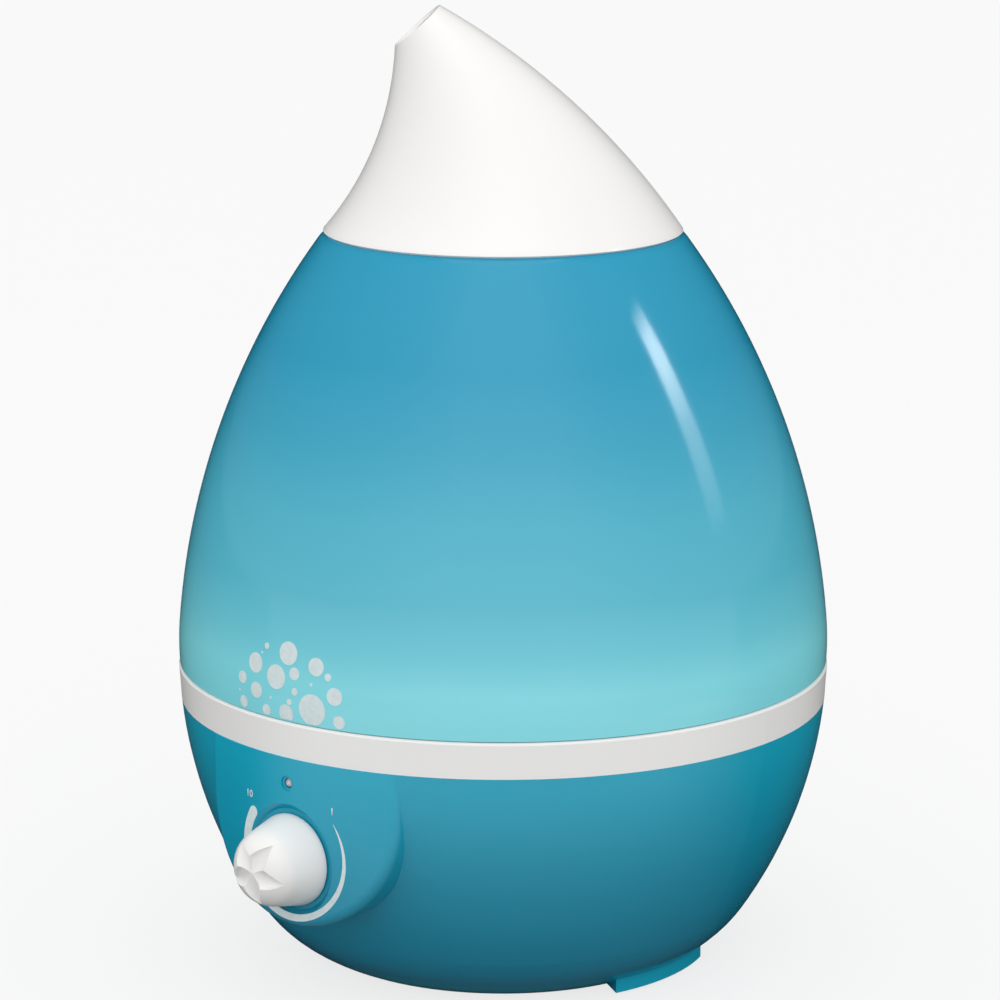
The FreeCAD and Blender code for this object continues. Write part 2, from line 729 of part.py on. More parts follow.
def air_duct():
    """Duct that turns the fan's round outlet into the chimney's rectangle."""
    top = tray_floor - basin_wall + 1.0
    bend_height = tray_floor - basin_wall - chimney_collar - duct_straight
    flange_top = fan_top + duct_flange
    solids = []
    for shrink in (0.0, duct_wall):
        overrun = 0.5 if shrink else 0.0
        size = 2 * (fan_bore + duct_wall - shrink)
        low = cornered(fan_x, fan_y, size, size, duct_low_corner - shrink, fan_top - overrun)
        x_size = chimney_length_x - 2 * duct_fit - 2 * shrink
        y_size = chimney_length_y - 2 * duct_fit - 2 * shrink
        corner = duct_high_corner - shrink
        bend = cornered(chimney_x, chimney_y, x_size, y_size, corner, bend_height)
        high = cornered(chimney_x, chimney_y, x_size, y_size, corner, top + overrun)
        solids.append(Part.makeLoft([low, bend], True, True).fuse(Part.makeLoft([bend, high], True, True)))
    half = fan_size / 2
    flange = Part.Face(cornered(fan_x, fan_y, 2 * half, 2 * half, duct_high_corner, fan_top))
    flange = flange.extrude(V(0, 0, duct_flange))
    holes = [disc(screw_radius + 0.2, fan_top - 1, flange_top + 1, x, y) for x, y in fan_places]
    return joined([solids[0], flange]).cut(joined([solids[1]] + holes))


# ---- electronics --------------------------------------------------------------------------
def driver_board():
    plate = block(driver_low_x, driver_high_x, driver_low_y, driver_high_y, driver_bottom, driver_top)
    holes = [disc(screw_radius + 0.2, 0, base_height, x, y) for x, y in driver_places]
    mid_x = (driver_low_x + driver_high_x) / 2
    mid_y = (driver_low_y + driver_high_y) / 2
    parts = [disc(5.0, driver_top - 0.1, driver_top + 12, driver_low_x + 8, mid_y),
             disc(4.0, driver_top - 0.1, driver_top + 9, driver_high_x - 6, mid_y - 2),
             disc(6.0, driver_top - 0.1, driver_top + 6, mid_x, driver_low_y + 8),
             block(mid_x - 5, mid_x + 5, mid_y - 2, mid_y + 2, driver_top - 0.1, driver_top + 3)]
    return joined([plate.cut(joined(holes))] + parts)


def heat_sink():
    """Finned block on the rear edge of the driver board."""
    mid_x = (driver_low_x + driver_high_x) / 2
    half = 12.0
    back = driver_high_y - 1.0
    front = back - 11.0
    base = block(mid_x - half, mid_x + half, front, front + 2.5, driver_top, driver_top + 18)
    step = (2 * half - 1.2) / (heat_sink_fins - 1)
    fins = [block(mid_x - half + i * step, mid_x - half + i * step + 1.2, front + 2, back, driver_top,
                  driver_top + 18) for i in range(heat_sink_fins)]
    return joined([base] + fins)


def driver_screws():
    return screws(driver_places, driver_top, board_thickness + 5.0, False)


def control_board():
    half = control_board_half_width
    back = board_front_y + board_thickness
    body = block(-half, half, board_front_y, back, control_board_low, control_board_high)
    holes = [forward(screw_radius + 0.2, back + 1, board_front_y - 1, board_screw_height, sign * board_screw_x)
             for sign in (-1, 1)]
    plug = block(-6, 6, back - 0.1, back + 5.5, control_board_low + 3, control_board_low + 9)
    return joined([body.cut(joined(holes)), plug])


def board_screws():
    bodies = []
    back = board_front_y + board_thickness
    for sign in (-1, 1):
        x = sign * board_screw_x
        head = forward(screw_head_radius, back + screw_head_height, back, board_screw_height, x)
        shank = forward(screw_radius - 0.1, back + 0.5, board_front_y - 3.5, board_screw_height, x)
        bodies.append(joined([head, shank]))
    return Part.makeCompound(bodies)


def potentiometer():
    front = board_front_y - pot_thickness
    can = forward(pot_radius, board_front_y, front, dial_height)
    bush = forward(bush_radius, front + 0.5, front - bush_length, dial_height)
    bore = forward(shaft_radius + shaft_play, board_front_y - 2.0, front - bush_length - 1, dial_height)
    tags = [block(x - 0.8, x + 0.8, board_front_y - 1.2, board_front_y, dial_height - pot_radius - 5,
                  dial_height - pot_radius + 3) for x in (-5, 0, 5)]
    return joined([can, bush] + tags).cut(bore)


def pot_shaft():
    back = board_front_y - 2.5
    bar = forward(shaft_radius, back, back - shaft_length, dial_height)
    end = back - shaft_length
    flat = block(-shaft_radius, shaft_radius, end - 1, end + 8.0, dial_height + 1.6, dial_height + 4)
    return bar.cut(flat)


def pot_nut():
    corners = [V(nut_radius * math.cos(a), 0, nut_radius * math.sin(a))
               for a in [math.radians(60 * i) for i in range(6)]]
    nut = Part.Face(Part.makePolygon(corners + corners[:1])).extrude(V(0, -nut_thickness, 0))
    nut.translate(V(0, dish_floor_y, dial_height))
    return nut.cut(forward(bush_radius + 0.05, dish_floor_y + 1, dish_floor_y - nut_thickness - 1, dial_height))


def indicator_led():
    """Domed lens with a flange behind the panel and two legs back to the board."""
    back = 1.4 - panel_inner_radius
    tip = 0.2 - panel_radius
    length = back - tip + 1.0
    shoulder = length - led_radius
    cheek = led_radius * math.sqrt(0.5)
    lens = turned((0, 0), (led_radius + 0.4, 0), (led_radius + 0.4, 1.0), (led_radius, 1.0),
                  (led_radius, shoulder), ((cheek, shoulder + cheek), (0, length)))
    lens.rotate(V(0, 0, 0), V(1, 0, 0), 90)
    lens.translate(V(0, back + 1.0, led_height))
    legs = [block(x - 0.25, x + 0.25, back + 0.5, board_front_y, led_height - 0.25, led_height + 0.25)
            for x in (-0.8, 0.8)]
    return joined([lens] + legs)


def dc_socket():
    inward = V(0, -1, 0)
    front = socket_face_y + 1.2
    flange = Part.makeCylinder(socket_barrel_radius + 1.6, 1.2, V(0, front, socket_height), inward)
    barrel = Part.makeCylinder(socket_barrel_radius, socket_length, V(0, front, socket_height), inward)
    bore = Part.makeCylinder(socket_bore_radius, socket_length - 3.0, V(0, front, socket_height), inward)
    pin = Part.makeCylinder(socket_pin_radius, socket_length - 2.0, V(0, front - 1.0, socket_height), inward)
    tags = block(-3.0, 3.0, front - socket_length - 3.0, front - socket_length + 0.5, socket_height - 0.3,
                 socket_height + 0.3)
    return joined([joined([flange, barrel]).cut(bore), pin, tags])


def socket_nut():
    back = socket_face_y - bowl_wall
    corners = [V(6.4 * math.cos(a), back, socket_height + 6.4 * math.sin(a))
               for a in [math.radians(60 * i) for i in range(6)]]
    nut = Part.Face(Part.makePolygon(corners + corners[:1])).extrude(V(0, -2.4, 0))
    bore = Part.makeCylinder(socket_barrel_radius + 0.05, 6, V(0, back + 1, socket_height), V(0, -1, 0))
    return nut.cut(bore)


# ---- tank ---------------------------------------------------------------------------------
def tank_shell():
    wall = tank_wall
    deck = tank_top - wall
    tank_middle = (tank_joint(0) + tank_top) / 2
    socket_inner = tube_bore + tube_wall + 0.1
    socket_outer = socket_inner + wall
    socket_low = tube_seal_top - tube_socket_depth
    return turned((tank_radius(tank_bottom), tank_bottom),
                  side(tank_radius, tank_bottom, tank_joint(0)),
                  side(tank_radius, tank_joint(0), tank_middle),
                  side(tank_radius, tank_middle, tank_top),
                  (recess_radius, tank_top), (recess_radius, recess_floor), (tube_bore, recess_floor),
                  (tube_bore, tube_seal_top), (socket_inner, tube_seal_top), (socket_inner, socket_low),
                  (socket_outer, socket_low), (socket_outer, tube_seal_top),
                  (recess_radius + wall, tube_seal_top), (recess_radius + wall, deck),
                  (tank_radius(deck, wall), deck),
                  *bands(tank_radius, deck, tank_joint(wall), wall, 5),
                  *bands(tank_radius, tank_joint(wall), tank_bottom, wall, 2))


def tank_floor():
    rim = tank_radius(tank_floor_under, tank_wall) - 0.05
    skirt_outer = ring_radius - seat_width - skirt_gap
    skirt_low = shelf_height + skirt_gap
    tube_outer = tube_bore + tube_wall
    plate = turned((tube_outer + 0.05, tank_floor_under - 4), (tube_outer + 3, tank_floor_under - 4),
                   (tube_outer + 3, tank_floor_under), (skirt_outer - 2, tank_floor_under),
                   (skirt_outer - 2, skirt_low), (skirt_outer, skirt_low), (skirt_outer, tank_floor_under),
                   (rim, tank_floor_under), (rim, tank_floor_top), (tube_outer + 3, tank_floor_top),
                   (tube_outer + 3, tank_floor_top + 4), (tube_outer + 0.05, tank_floor_top + 4))
    neck = disc(neck_radius, neck_end, tank_floor_top, 0, cap_centre_y)
    bore = disc(neck_radius - neck_wall, neck_end - 1, tank_floor_top + 1, 0, cap_centre_y)
    return joined([plate, neck]).cut(bore)


def mist_tube():
    low = tank_floor_under - tube_below_floor
    tube = ring(tube_bore + tube_wall, tube_bore, low, tube_top)
    stop = ring(tube_bore + tube_wall + 2.5, tube_bore + 1, tank_floor_top + 4, tank_floor_top + 6)
    return joined([tube, stop])


def mist_tube_seal():
    return ring(tube_bore + tube_wall, tube_bore + 0.3, tube_top, tube_seal_top)


# ---- tank cap and valve -------------------------------------------------------------------
def at_cap(shape):
    shape.translate(V(0, cap_centre_y, 0))
    return shape


def tank_cap():
    skirt_inner = cap_radius - cap_skirt_wall
    cup = turned((0, cap_plate_under), (housing_radius - housing_wall, cap_plate_under),
                 (housing_radius - housing_wall, seat_top), (valve_port_radius, seat_top),
                 (valve_port_radius, cap_bottom), (housing_radius, cap_bottom),
                 (housing_radius, cap_plate_under), (cap_radius - 1.5, cap_plate_under),
                 (cap_radius, cap_plate_under + 1.5), (cap_radius, cap_top), (skirt_inner, cap_top),
                 (skirt_inner, cap_plate_top), (0, cap_plate_top))
    groove = disc(1.6, cap_plate_under + 2.5, cap_top + 1, cap_radius + 0.5, 0)
    window = ring(housing_radius - housing_wall - 0.4, spring_radius + 1.4, cap_plate_under - 0.5,
                  cap_plate_top + 1)
    arm = block(0, housing_radius, -1.2, 1.2, cap_plate_under - 1, cap_plate_top + 2)
    window = window.cut(joined(around(arm, even_angles(3))))
    guide = disc(stem_radius + shaft_play, cap_plate_under - 1, cap_plate_top + 1)
    return at_cap(cup.cut(joined(around(groove, even_angles(cap_ribs)))).cut(joined([window, guide])))


def cap_gasket():
    return at_cap(ring(neck_radius, neck_radius - neck_wall + 0.2, cap_plate_top, neck_end))


def valve_plunger():
    tip = cap_bottom - stem_below_seat
    above = cap_plate_top + 3.5
    return at_cap(turned((0, tip), (stem_radius, tip), (stem_radius, plunger_shoulder),
                         (valve_seal_radius - 1.2, plunger_shoulder), (valve_seal_radius - 1.2, plunger_head),
                         (stem_radius, plunger_head), (stem_radius, above), (0, above)))


def valve_seal():
    return at_cap(ring(valve_seal_radius, stem_radius + 0.05, seal_low, plunger_shoulder))


def valve_spring():
    """Coil between the plunger's head and the cap's plate, its wire drawn with a square section."""
    low = plunger_head + spring_wire
    high = cap_plate_under - spring_wire
    pitch = (high - low) / spring_turns
    coil = Part.makeHelix(pitch, high - low, spring_radius)
    half = spring_wire
    corners = [V(spring_radius + sx * half, 0, sz * half) for sx, sz in ((-1, -1), (1, -1), (1, 1), (-1, 1))]
    section = Part.makePolygon(corners + corners[:1])
    spring = Part.Wire(coil.Edges).makePipeShell([section], True, True)
    spring.translate(V(0, 0, low))
    return at_cap(spring)


# ---- nozzle -------------------------------------------------------------------------------
nozzle_base = tank_top_radius + nozzle_overhang
outlet_height = tip_height - outlet_drop


def arc_centre(first, second, radius):
    """Centre, on the -X side, of the arc of this radius through two points of the profile."""
    chord_x = second[0] - first[0]
    chord_z = second[1] - first[1]
    chord = math.hypot(chord_x, chord_z)
    reach = math.sqrt(radius ** 2 - (chord / 2) ** 2)
    x = (first[0] + second[0]) / 2 - reach * chord_z / chord
    z = (first[1] + second[1]) / 2 + reach * chord_x / chord
    return x, z


lean_x, lean_z = arc_centre((-nozzle_base, nozzle_bottom), (outlet_offset, outlet_height), lean_curve)
back_x, back_z = arc_centre((nozzle_base, nozzle_bottom), (tip_offset, tip_height), back_curve)


def nozzle_section(height, inset):
    """Round level section that spans from the hollow side's arc to the full side's arc."""
    low_side = lean_x + math.sqrt((lean_curve + inset) ** 2 - (height - lean_z) ** 2)
    high_side = back_x + math.sqrt((back_curve - inset) ** 2 - (height - back_z) ** 2)
    circle = Part.makeCircle((high_side - low_side) / 2, V((low_side + high_side) / 2, 0, height), UP)
    return Part.Wire([circle])


def nozzle_form(inset, low, high, sections, ruled):
    step = (high - low) / (sections - 1)
    return Part.makeLoft([nozzle_section(low + i * step, inset) for i in range(sections)], True, ruled)


def face_nozzle(shape):
    shape.rotate(V(0, 0, 0), UP, 90 + nozzle_heading)
    return shape


def nozzle():
    above_tip = 2.0
    outside = nozzle_form(0.0, nozzle_bottom, tip_height + above_tip, 7, False)
    inside = nozzle_form(nozzle_wall, nozzle_bottom, tip_height, 6, True)
    below = Part.Face(nozzle_section(nozzle_bottom, nozzle_wall)).extrude(V(0, 0, -1))
    shell = outside.cut(inside).cut(below)
    web = ring(nozzle_base, recess_radius - collar_gap + collar_turn_gap, web_low, web_high)
    shell = joined([shell, web.common(outside)])
    along = V(tip_offset - outlet_offset, 0, outlet_drop)
    along.normalize()
    away = V(-along.z, 0, along.x)
    tip = V(tip_offset, 0, tip_height)
    start = tip + along * 30
    end = tip - along * 60
    slab = Part.Face(Part.makePolygon([start, end, end + away * 60, start + away * 60, start]))
    slab.translate(V(0, -nozzle_base, 0))
    shell = shell.cut(slab.extrude(V(0, 2 * nozzle_base, 0)))
    return face_nozzle(shell)


def mist_cup():
    outer = recess_radius - collar_gap
    inner = outer - collar_wall
    low = recess_floor + running_gap
    floor_top = low + collar_wall
    lug_low = web_high + collar_gap + 0.1
    high = lug_low + lug_thickness
    cup = turned((tube_bore, low), (outer - 1.0, low), (outer, low + 1.0), (outer, high), (inner, high),
                 (inner, floor_top), (tube_bore, floor_top))
    lug_outer = outer + collar_turn_gap + lug_overlap
    lug_ring = turned((inner + 0.5, lug_low), (lug_outer, lug_low), (lug_outer, lug_low + 0.6),
                      (outer, high), (inner + 0.5, high))
    slot = block(0, recess_radius * 2, -recess_radius * math.sin(math.radians(lug_span / 2)),
                 recess_radius * math.sin(math.radians(lug_span / 2)), lug_low - 1, high + 1)
    lugs = lug_ring.common(joined(around(slot, even_angles(lug_count, 45))))
    leg = disc(1.6, floor_top - 0.5, low + baffle_rise + 0.5, tube_bore + 3.0, 0)
    baffle_low = low + baffle_rise
    baffle_high = baffle_low + baffle_thickness
    baffle = turned((0, baffle_low + baffle_crown), (baffle_radius, baffle_low), (baffle_radius, baffle_high),
                    (0, baffle_high + baffle_crown))
    body = joined([cup, lugs, baffle] + around(leg, even_angles(leg_count, 30)))
    return face_nozzle(body)


# ---- knob ---------------------------------------------------------------------------------
def control_knob():
    """Domed knob turned about its own axis, with a star of pointed scoops in its face."""
    slope = knob_side_draft / knob_height
    lean = math.sqrt(1 + slope ** 2)
    dome_z = knob_height - knob_dome_radius
    # centre of the shoulder's arc: inside the side's line and inside the dome by the same radius
    side_x = knob_radius - slope * dome_z - knob_shoulder_round * lean
    reach = knob_dome_radius - knob_shoulder_round
    rise = (slope * side_x + math.sqrt(reach ** 2 * lean ** 2 - side_x ** 2)) / lean ** 2
    arc_x = side_x - slope * rise
    arc_z = dome_z + rise
    low = (arc_x + knob_shoulder_round / lean, arc_z + knob_shoulder_round * slope / lean)
    high = (arc_x * knob_dome_radius / reach, dome_z + rise * knob_dome_radius / reach)
    bend = math.atan2(low[1] - arc_z, low[0] - arc_x) + math.atan2(high[1] - arc_z, high[0] - arc_x)
    through = (arc_x + knob_shoulder_round * math.cos(bend / 2),
               arc_z + knob_shoulder_round * math.sin(bend / 2))
    crown_x = high[0] / 2
    crown = (crown_x, dome_z + math.sqrt(knob_dome_radius ** 2 - crown_x ** 2))
    body = turned((0, 0), (knob_radius, 0), low, (through, high), (crown, (0, knob_height)))
    tip = V(knob_scoop_reach, 0, arc_z + math.sqrt(knob_shoulder_round ** 2 - (knob_scoop_reach - arc_x) ** 2))
    spread = math.radians(knob_scoop_spread)
    rise = spread + math.atan2(knob_height - knob_scoop_depth - tip.z, knob_scoop_reach)
    inward = V(-math.cos(rise), 0, math.sin(rise))
    scoop = Part.makeCone(0, knob_height * math.tan(spread), knob_height, tip, inward)
    body = body.cut(joined(around(scoop, even_angles(knob_scoops, knob_scoop_heading))))
    cavity = disc(knob_cavity_radius, -1, knob_cavity_depth)
    shaft_room = disc(shaft_radius + shaft_play, 0, knob_shaft_depth)
    flat = block(-5, 5, 1.65, 5, knob_cavity_depth + 1.0, knob_shaft_depth)
    body = body.cut(joined([cavity, shaft_room]).cut(flat))
    body.rotate(V(0, 0, 0), V(1, 0, 0), 90)
    body.translate(V(0, dish_floor_y - knob_lift, dial_height))
    return body


knob_shaft_depth = dish_floor_y - knob_lift - (board_front_y - 2.5 - shaft_length) + 0.05


NODES = {
    "base_housing": base_housing, "intake_grille": intake_grille, "foot_pads": foot_pads,
    "basin": basin, "basin_screws": basin_screws,
    "transducer_disc": transducer_disc, "transducer_seal": transducer_seal,
    "transducer_retainer": transducer_retainer, "retainer_screws": retainer_screws,
    "float_ring": float_ring, "float_magnet": float_magnet, "float_clip": float_clip,
    "reed_switch": reed_switch,
    "fan_frame": fan_frame, "fan_rotor": fan_rotor, "fan_screws": fan_screws, "air_duct": air_duct,
    "driver_board": driver_board, "heat_sink": heat_sink, "driver_screws": driver_screws,
    "control_board": control_board, "board_screws": board_screws,
    "potentiometer": potentiometer, "pot_shaft": pot_shaft, "pot_nut": pot_nut,
    "control_knob": control_knob, "indicator_led": indicator_led,
    "dc_socket": dc_socket, "socket_nut": socket_nut,
    "tank_shell": tank_shell, "tank_floor": tank_floor, "mist_tube": mist_tube,
    "mist_tube_seal": mist_tube_seal,
    "tank_cap": tank_cap, "cap_gasket": cap_gasket, "valve_plunger": valve_plunger,
    "valve_seal": valve_seal, "valve_spring": valve_spring,
    "mist_cup": mist_cup, "nozzle": nozzle,
}

os.makedirs("parts", exist_ok=True)
for name, make in NODES.items():
    make().exportStep(os.path.join("parts", name + ".step"))
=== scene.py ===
import math

import bpy
from bpy.props import FloatProperty, FloatVectorProperty, IntProperty, PointerProperty, StringProperty
from mathutils import Matrix, Vector


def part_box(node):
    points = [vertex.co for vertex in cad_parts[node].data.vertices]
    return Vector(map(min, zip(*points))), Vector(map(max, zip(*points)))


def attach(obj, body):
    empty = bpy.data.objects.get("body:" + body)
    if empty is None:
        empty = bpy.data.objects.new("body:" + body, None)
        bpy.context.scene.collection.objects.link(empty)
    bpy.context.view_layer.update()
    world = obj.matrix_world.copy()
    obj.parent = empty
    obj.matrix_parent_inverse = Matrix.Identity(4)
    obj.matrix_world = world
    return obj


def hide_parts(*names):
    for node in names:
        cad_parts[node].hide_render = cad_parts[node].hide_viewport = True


bl_info = {
    "name": "Drop humidifier",
    "version": (1, 0, 0),
    "blender": (4, 5, 0),
    "location": "3D View > Sidebar > Humidifier",
    "description": "Skins, prints and finishes of a drop-shaped cool mist humidifier",
    "category": "Object",
}

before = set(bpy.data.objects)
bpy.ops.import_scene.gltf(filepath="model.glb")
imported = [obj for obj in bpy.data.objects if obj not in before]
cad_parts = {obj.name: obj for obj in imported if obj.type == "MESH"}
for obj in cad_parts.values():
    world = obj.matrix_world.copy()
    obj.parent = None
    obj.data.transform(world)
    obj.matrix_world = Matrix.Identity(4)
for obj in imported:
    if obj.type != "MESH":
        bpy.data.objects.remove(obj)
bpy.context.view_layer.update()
MM = 0.001

# a pole is drawn out as a ring this small, and merged afterwards
POLE_RADIUS = 1e-5
MERGE_DISTANCE = 2e-6

# outer face of a print above the surface under it, and the print's own thickness
PRINT_LIFT = 0.05 * MM
PRINT_THICKNESS = 0.04 * MM


# ---- sizes read from the frame ------------------------------------------------------------
def top_of(node):
    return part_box(node)[1]


def bottom_of(node):
    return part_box(node)[0]


RING_TOP = top_of("basin").z
TANK_LOW = bottom_of("tank_shell").z
TANK_TOP = top_of("tank_shell").z
TANK_WIDEST = top_of("tank_shell").x
NOZZLE_LOW = bottom_of("nozzle").z
TIP_HEIGHT = top_of("nozzle").z
DIAL_HEIGHT = (top_of("control_knob").z + bottom_of("control_knob").z) / 2
KNOB_BACK = top_of("control_knob").y

# upright round face of the control panel
PANEL_RADIUS = 107.14 * MM

# curves of the tank: a short arc round the widest place, then one long arc to the shoulder
TANK_TOP_RADIUS = 58.2 * MM
LOWER_CURVE = 84.5 * MM
WIDEST_HEIGHT = RING_TOP + 6.5 * MM
JOINT_HEIGHT = RING_TOP + 13.4 * MM
JOINT_SINE = (JOINT_HEIGHT - WIDEST_HEIGHT) / LOWER_CURVE
JOINT_COSINE = math.sqrt(1 - JOINT_SINE ** 2)
JOINT_RADIUS = TANK_WIDEST - LOWER_CURVE * (1 - JOINT_COSINE)
RISE_R = TANK_TOP_RADIUS - JOINT_RADIUS
RISE_Z = TANK_TOP - JOINT_HEIGHT
UPPER_CURVE = -(RISE_R ** 2 + RISE_Z ** 2) / (2 * (RISE_R * JOINT_COSINE + RISE_Z * JOINT_SINE))
UPPER_R = JOINT_RADIUS - UPPER_CURVE * JOINT_COSINE
UPPER_Z = JOINT_HEIGHT - UPPER_CURVE * JOINT_SINE


def tank_radius(height, inset=0.0):
    """Radius at a height of the tank's outside, or of a surface that lies inset behind it."""
    if height <= WIDEST_HEIGHT + (LOWER_CURVE - inset) * JOINT_SINE:
        reach = math.sqrt((LOWER_CURVE - inset) ** 2 - (height - WIDEST_HEIGHT) ** 2)
        return TANK_WIDEST - LOWER_CURVE + reach
    return UPPER_R + math.sqrt((UPPER_CURVE - inset) ** 2 - (height - UPPER_Z) ** 2)


def steps(low, high, count):
    """Evenly spaced values from low to high, both included."""
    return [low + (high - low) * i / count for i in range(count + 1)]


def linear(red, green, blue):
    """Colour as it looks on a screen, 0 to 255, turned to the values a shader takes."""
    return tuple(((c / 255 + 0.055) / 1.055) ** 2.4 if c > 10 else c / 255 / 12.92
                 for c in (red, green, blue))


# ---- settings -----------------------------------------------------------------------------
class TankSettings(bpy.types.PropertyGroup):
    top_colour: FloatVectorProperty(name="Tank top", description="Colour of the tank near its shoulder",
                                    subtype="COLOR", size=3, default=linear(46, 162, 198))
    # painted light: the middle and bottom colours are paler than the tank's tint, standing in for the white
    # basin lighting the tank from below
    middle_painted_light: FloatVectorProperty(name="Tank middle", description="Colour half way up",
                                       subtype="COLOR", size=3, default=linear(84, 189, 214))
    low_painted_light_and_shade: FloatVectorProperty(name="Tank bottom", description="Colour just above the ring",
                                    subtype="COLOR", size=3, default=linear(140, 234, 245))
    shoulder: FloatProperty(name="Shoulder", description="Height of the round shoulder under the nozzle",
                            unit="LENGTH", default=2.8 * MM)
    wall: FloatProperty(name="Wall", description="Thickness of the tank's wall", unit="LENGTH",
                        default=2.4 * MM, min=0.001)
    clearness: FloatProperty(name="Clearness", description="Share of light that passes the tank's wall",
                             subtype="FACTOR", default=0.08, min=0, max=1)


class BowlSettings(bpy.types.PropertyGroup):
    top_colour: FloatVectorProperty(name="Bowl top", description="Colour of the bowl under the ring",
                                    subtype="COLOR", size=3, default=linear(20, 170, 199))
    # painted shade: the bottom colour darkens the bowl towards the feet
    low_painted_light_and_shade: FloatVectorProperty(name="Bowl bottom", description="Colour of the bowl near the feet",
                                    subtype="COLOR", size=3, default=linear(11, 134, 165))
    white: FloatVectorProperty(name="White", description="Colour of the ring, the knob and the nozzle",
                               subtype="COLOR", size=3, default=linear(246, 245, 243))


class NozzleSettings(bpy.types.PropertyGroup):
    wall: FloatProperty(name="Wall", description="Thickness of the nozzle's wall", unit="LENGTH",
                        default=2.0 * MM, min=0.001)
    heading: FloatProperty(name="Heading", description="Turn of the leaning tip from the left-hand side",
                           subtype="ANGLE", default=math.radians(39.2))
    rings: IntProperty(name="Rings", description="Level rings along the nozzle", default=44, min=8)


class KnobSettings(bpy.types.PropertyGroup):
    radius: FloatProperty(name="Radius", description="Radius of the knob at its skirt", unit="LENGTH",
                          default=15.0 * MM)
    height: FloatProperty(name="Height", description="Skirt to crown, before the scoops are cut",
                          unit="LENGTH", default=19.7 * MM)
    draft: FloatProperty(name="Draft", description="How far the side would lean in over the full height",
                         unit="LENGTH", default=4.5 * MM)
    shoulder: FloatProperty(name="Shoulder", description="Radius of the round shoulder", unit="LENGTH",
                            default=10.7 * MM)
    dome: FloatProperty(name="Dome", description="Radius of the shallow dome", unit="LENGTH",
                        default=68.0 * MM)
    scoops: IntProperty(name="Scoops", description="Pointed hollows in the face", default=5, min=3)
    heading: FloatProperty(name="Heading", description="Turn of the first scoop from the right-hand side",
                           subtype="ANGLE", default=math.radians(-14))
    reach: FloatProperty(name="Scoop reach", description="Scoop tips, from the knob's axis", unit="LENGTH",
                         default=11.0 * MM)
    depth: FloatProperty(name="Scoop depth", description="Where the scoops meet, below the crown",
                         unit="LENGTH", default=1.1 * MM)
    spread: FloatProperty(name="Scoop spread", description="Half the angle at a scoop's tip", subtype="ANGLE",
                          default=math.radians(26))


class PrintSettings(bpy.types.PropertyGroup):
    ink: FloatVectorProperty(name="Ink", description="Colour of the printed dots, scale and numbers",
                             subtype="COLOR", size=3, default=linear(222, 236, 238))
    low_number: StringProperty(name="Low number", description="Number at the low end of the dial",
                               default="1")
    high_number: StringProperty(name="High number", description="Number at the high end of the dial",
                                default="10")
    number_height: FloatProperty(name="Number height", description="Height of the printed numbers",
                                 unit="LENGTH", default=2.3 * MM)


class StageSettings(bpy.types.PropertyGroup):
    turn: FloatProperty(name="Turn", description="Camera's place round the object, from the front",
                        subtype="ANGLE", default=math.radians(39.2))
    rise: FloatProperty(name="Rise", description="Camera's height above level", subtype="ANGLE",
                        default=math.radians(12.65))
    distance: FloatProperty(name="Distance", description="Camera to the object's axis", unit="LENGTH",
                            default=1.2847)
    lens: FloatProperty(name="Lens", description="Focal length of the camera in millimetres", default=140.2)
    fill: FloatProperty(name="Fill", description="Strength of the even light from all round", default=1.07)
    front: FloatProperty(name="Front", description="Power of the large soft light beside the camera",
                         unit="POWER", default=5.5)
    strip: FloatProperty(name="Strip", description="Brightness of the tall narrow light at the side",
                         default=12.0)
    floor_bounce: FloatProperty(name="Floor bounce", description="Share of light the floor throws back",
                                subtype="FACTOR", default=0.33, min=0, max=1)
    card_spread: FloatProperty(name="Card spread", description="Angle that the dark card covers",
                               subtype="ANGLE", default=math.radians(320))
    card_distance: FloatProperty(name="Card distance", description="Dark card to the object's axis",
                                 unit="LENGTH", default=0.5)
    card_height: FloatProperty(name="Card height", description="Height of the dark card", unit="LENGTH",
                               default=1.6)


SETTINGS = {"tank": TankSettings, "bowl": BowlSettings, "nozzle": NozzleSettings, "knob": KnobSettings,
            "prints": PrintSettings, "stage": StageSettings}


class HumidifierSettings(bpy.types.PropertyGroup):
    tank: PointerProperty(type=TankSettings, name="Tank")
    bowl: PointerProperty(type=BowlSettings, name="Bowl")
    nozzle: PointerProperty(type=NozzleSettings, name="Nozzle")
    knob: PointerProperty(type=KnobSettings, name="Knob")
    prints: PointerProperty(type=PrintSettings, name="Prints")
    stage: PointerProperty(type=StageSettings, name="Stage")


def settings():
    return bpy.context.scene.humidifier


# ---- modelling helpers --------------------------------------------------------------------
def let_go():
    """Leave edit mode and deselect everything."""
    if bpy.context.object and bpy.context.object.mode != "OBJECT":
        bpy.ops.object.mode_set(mode="OBJECT")
    bpy.ops.object.select_all(action="DESELECT")


def only(obj):
    let_go()
    obj.select_set(True)
    bpy.context.view_layer.objects.active = obj
    return obj


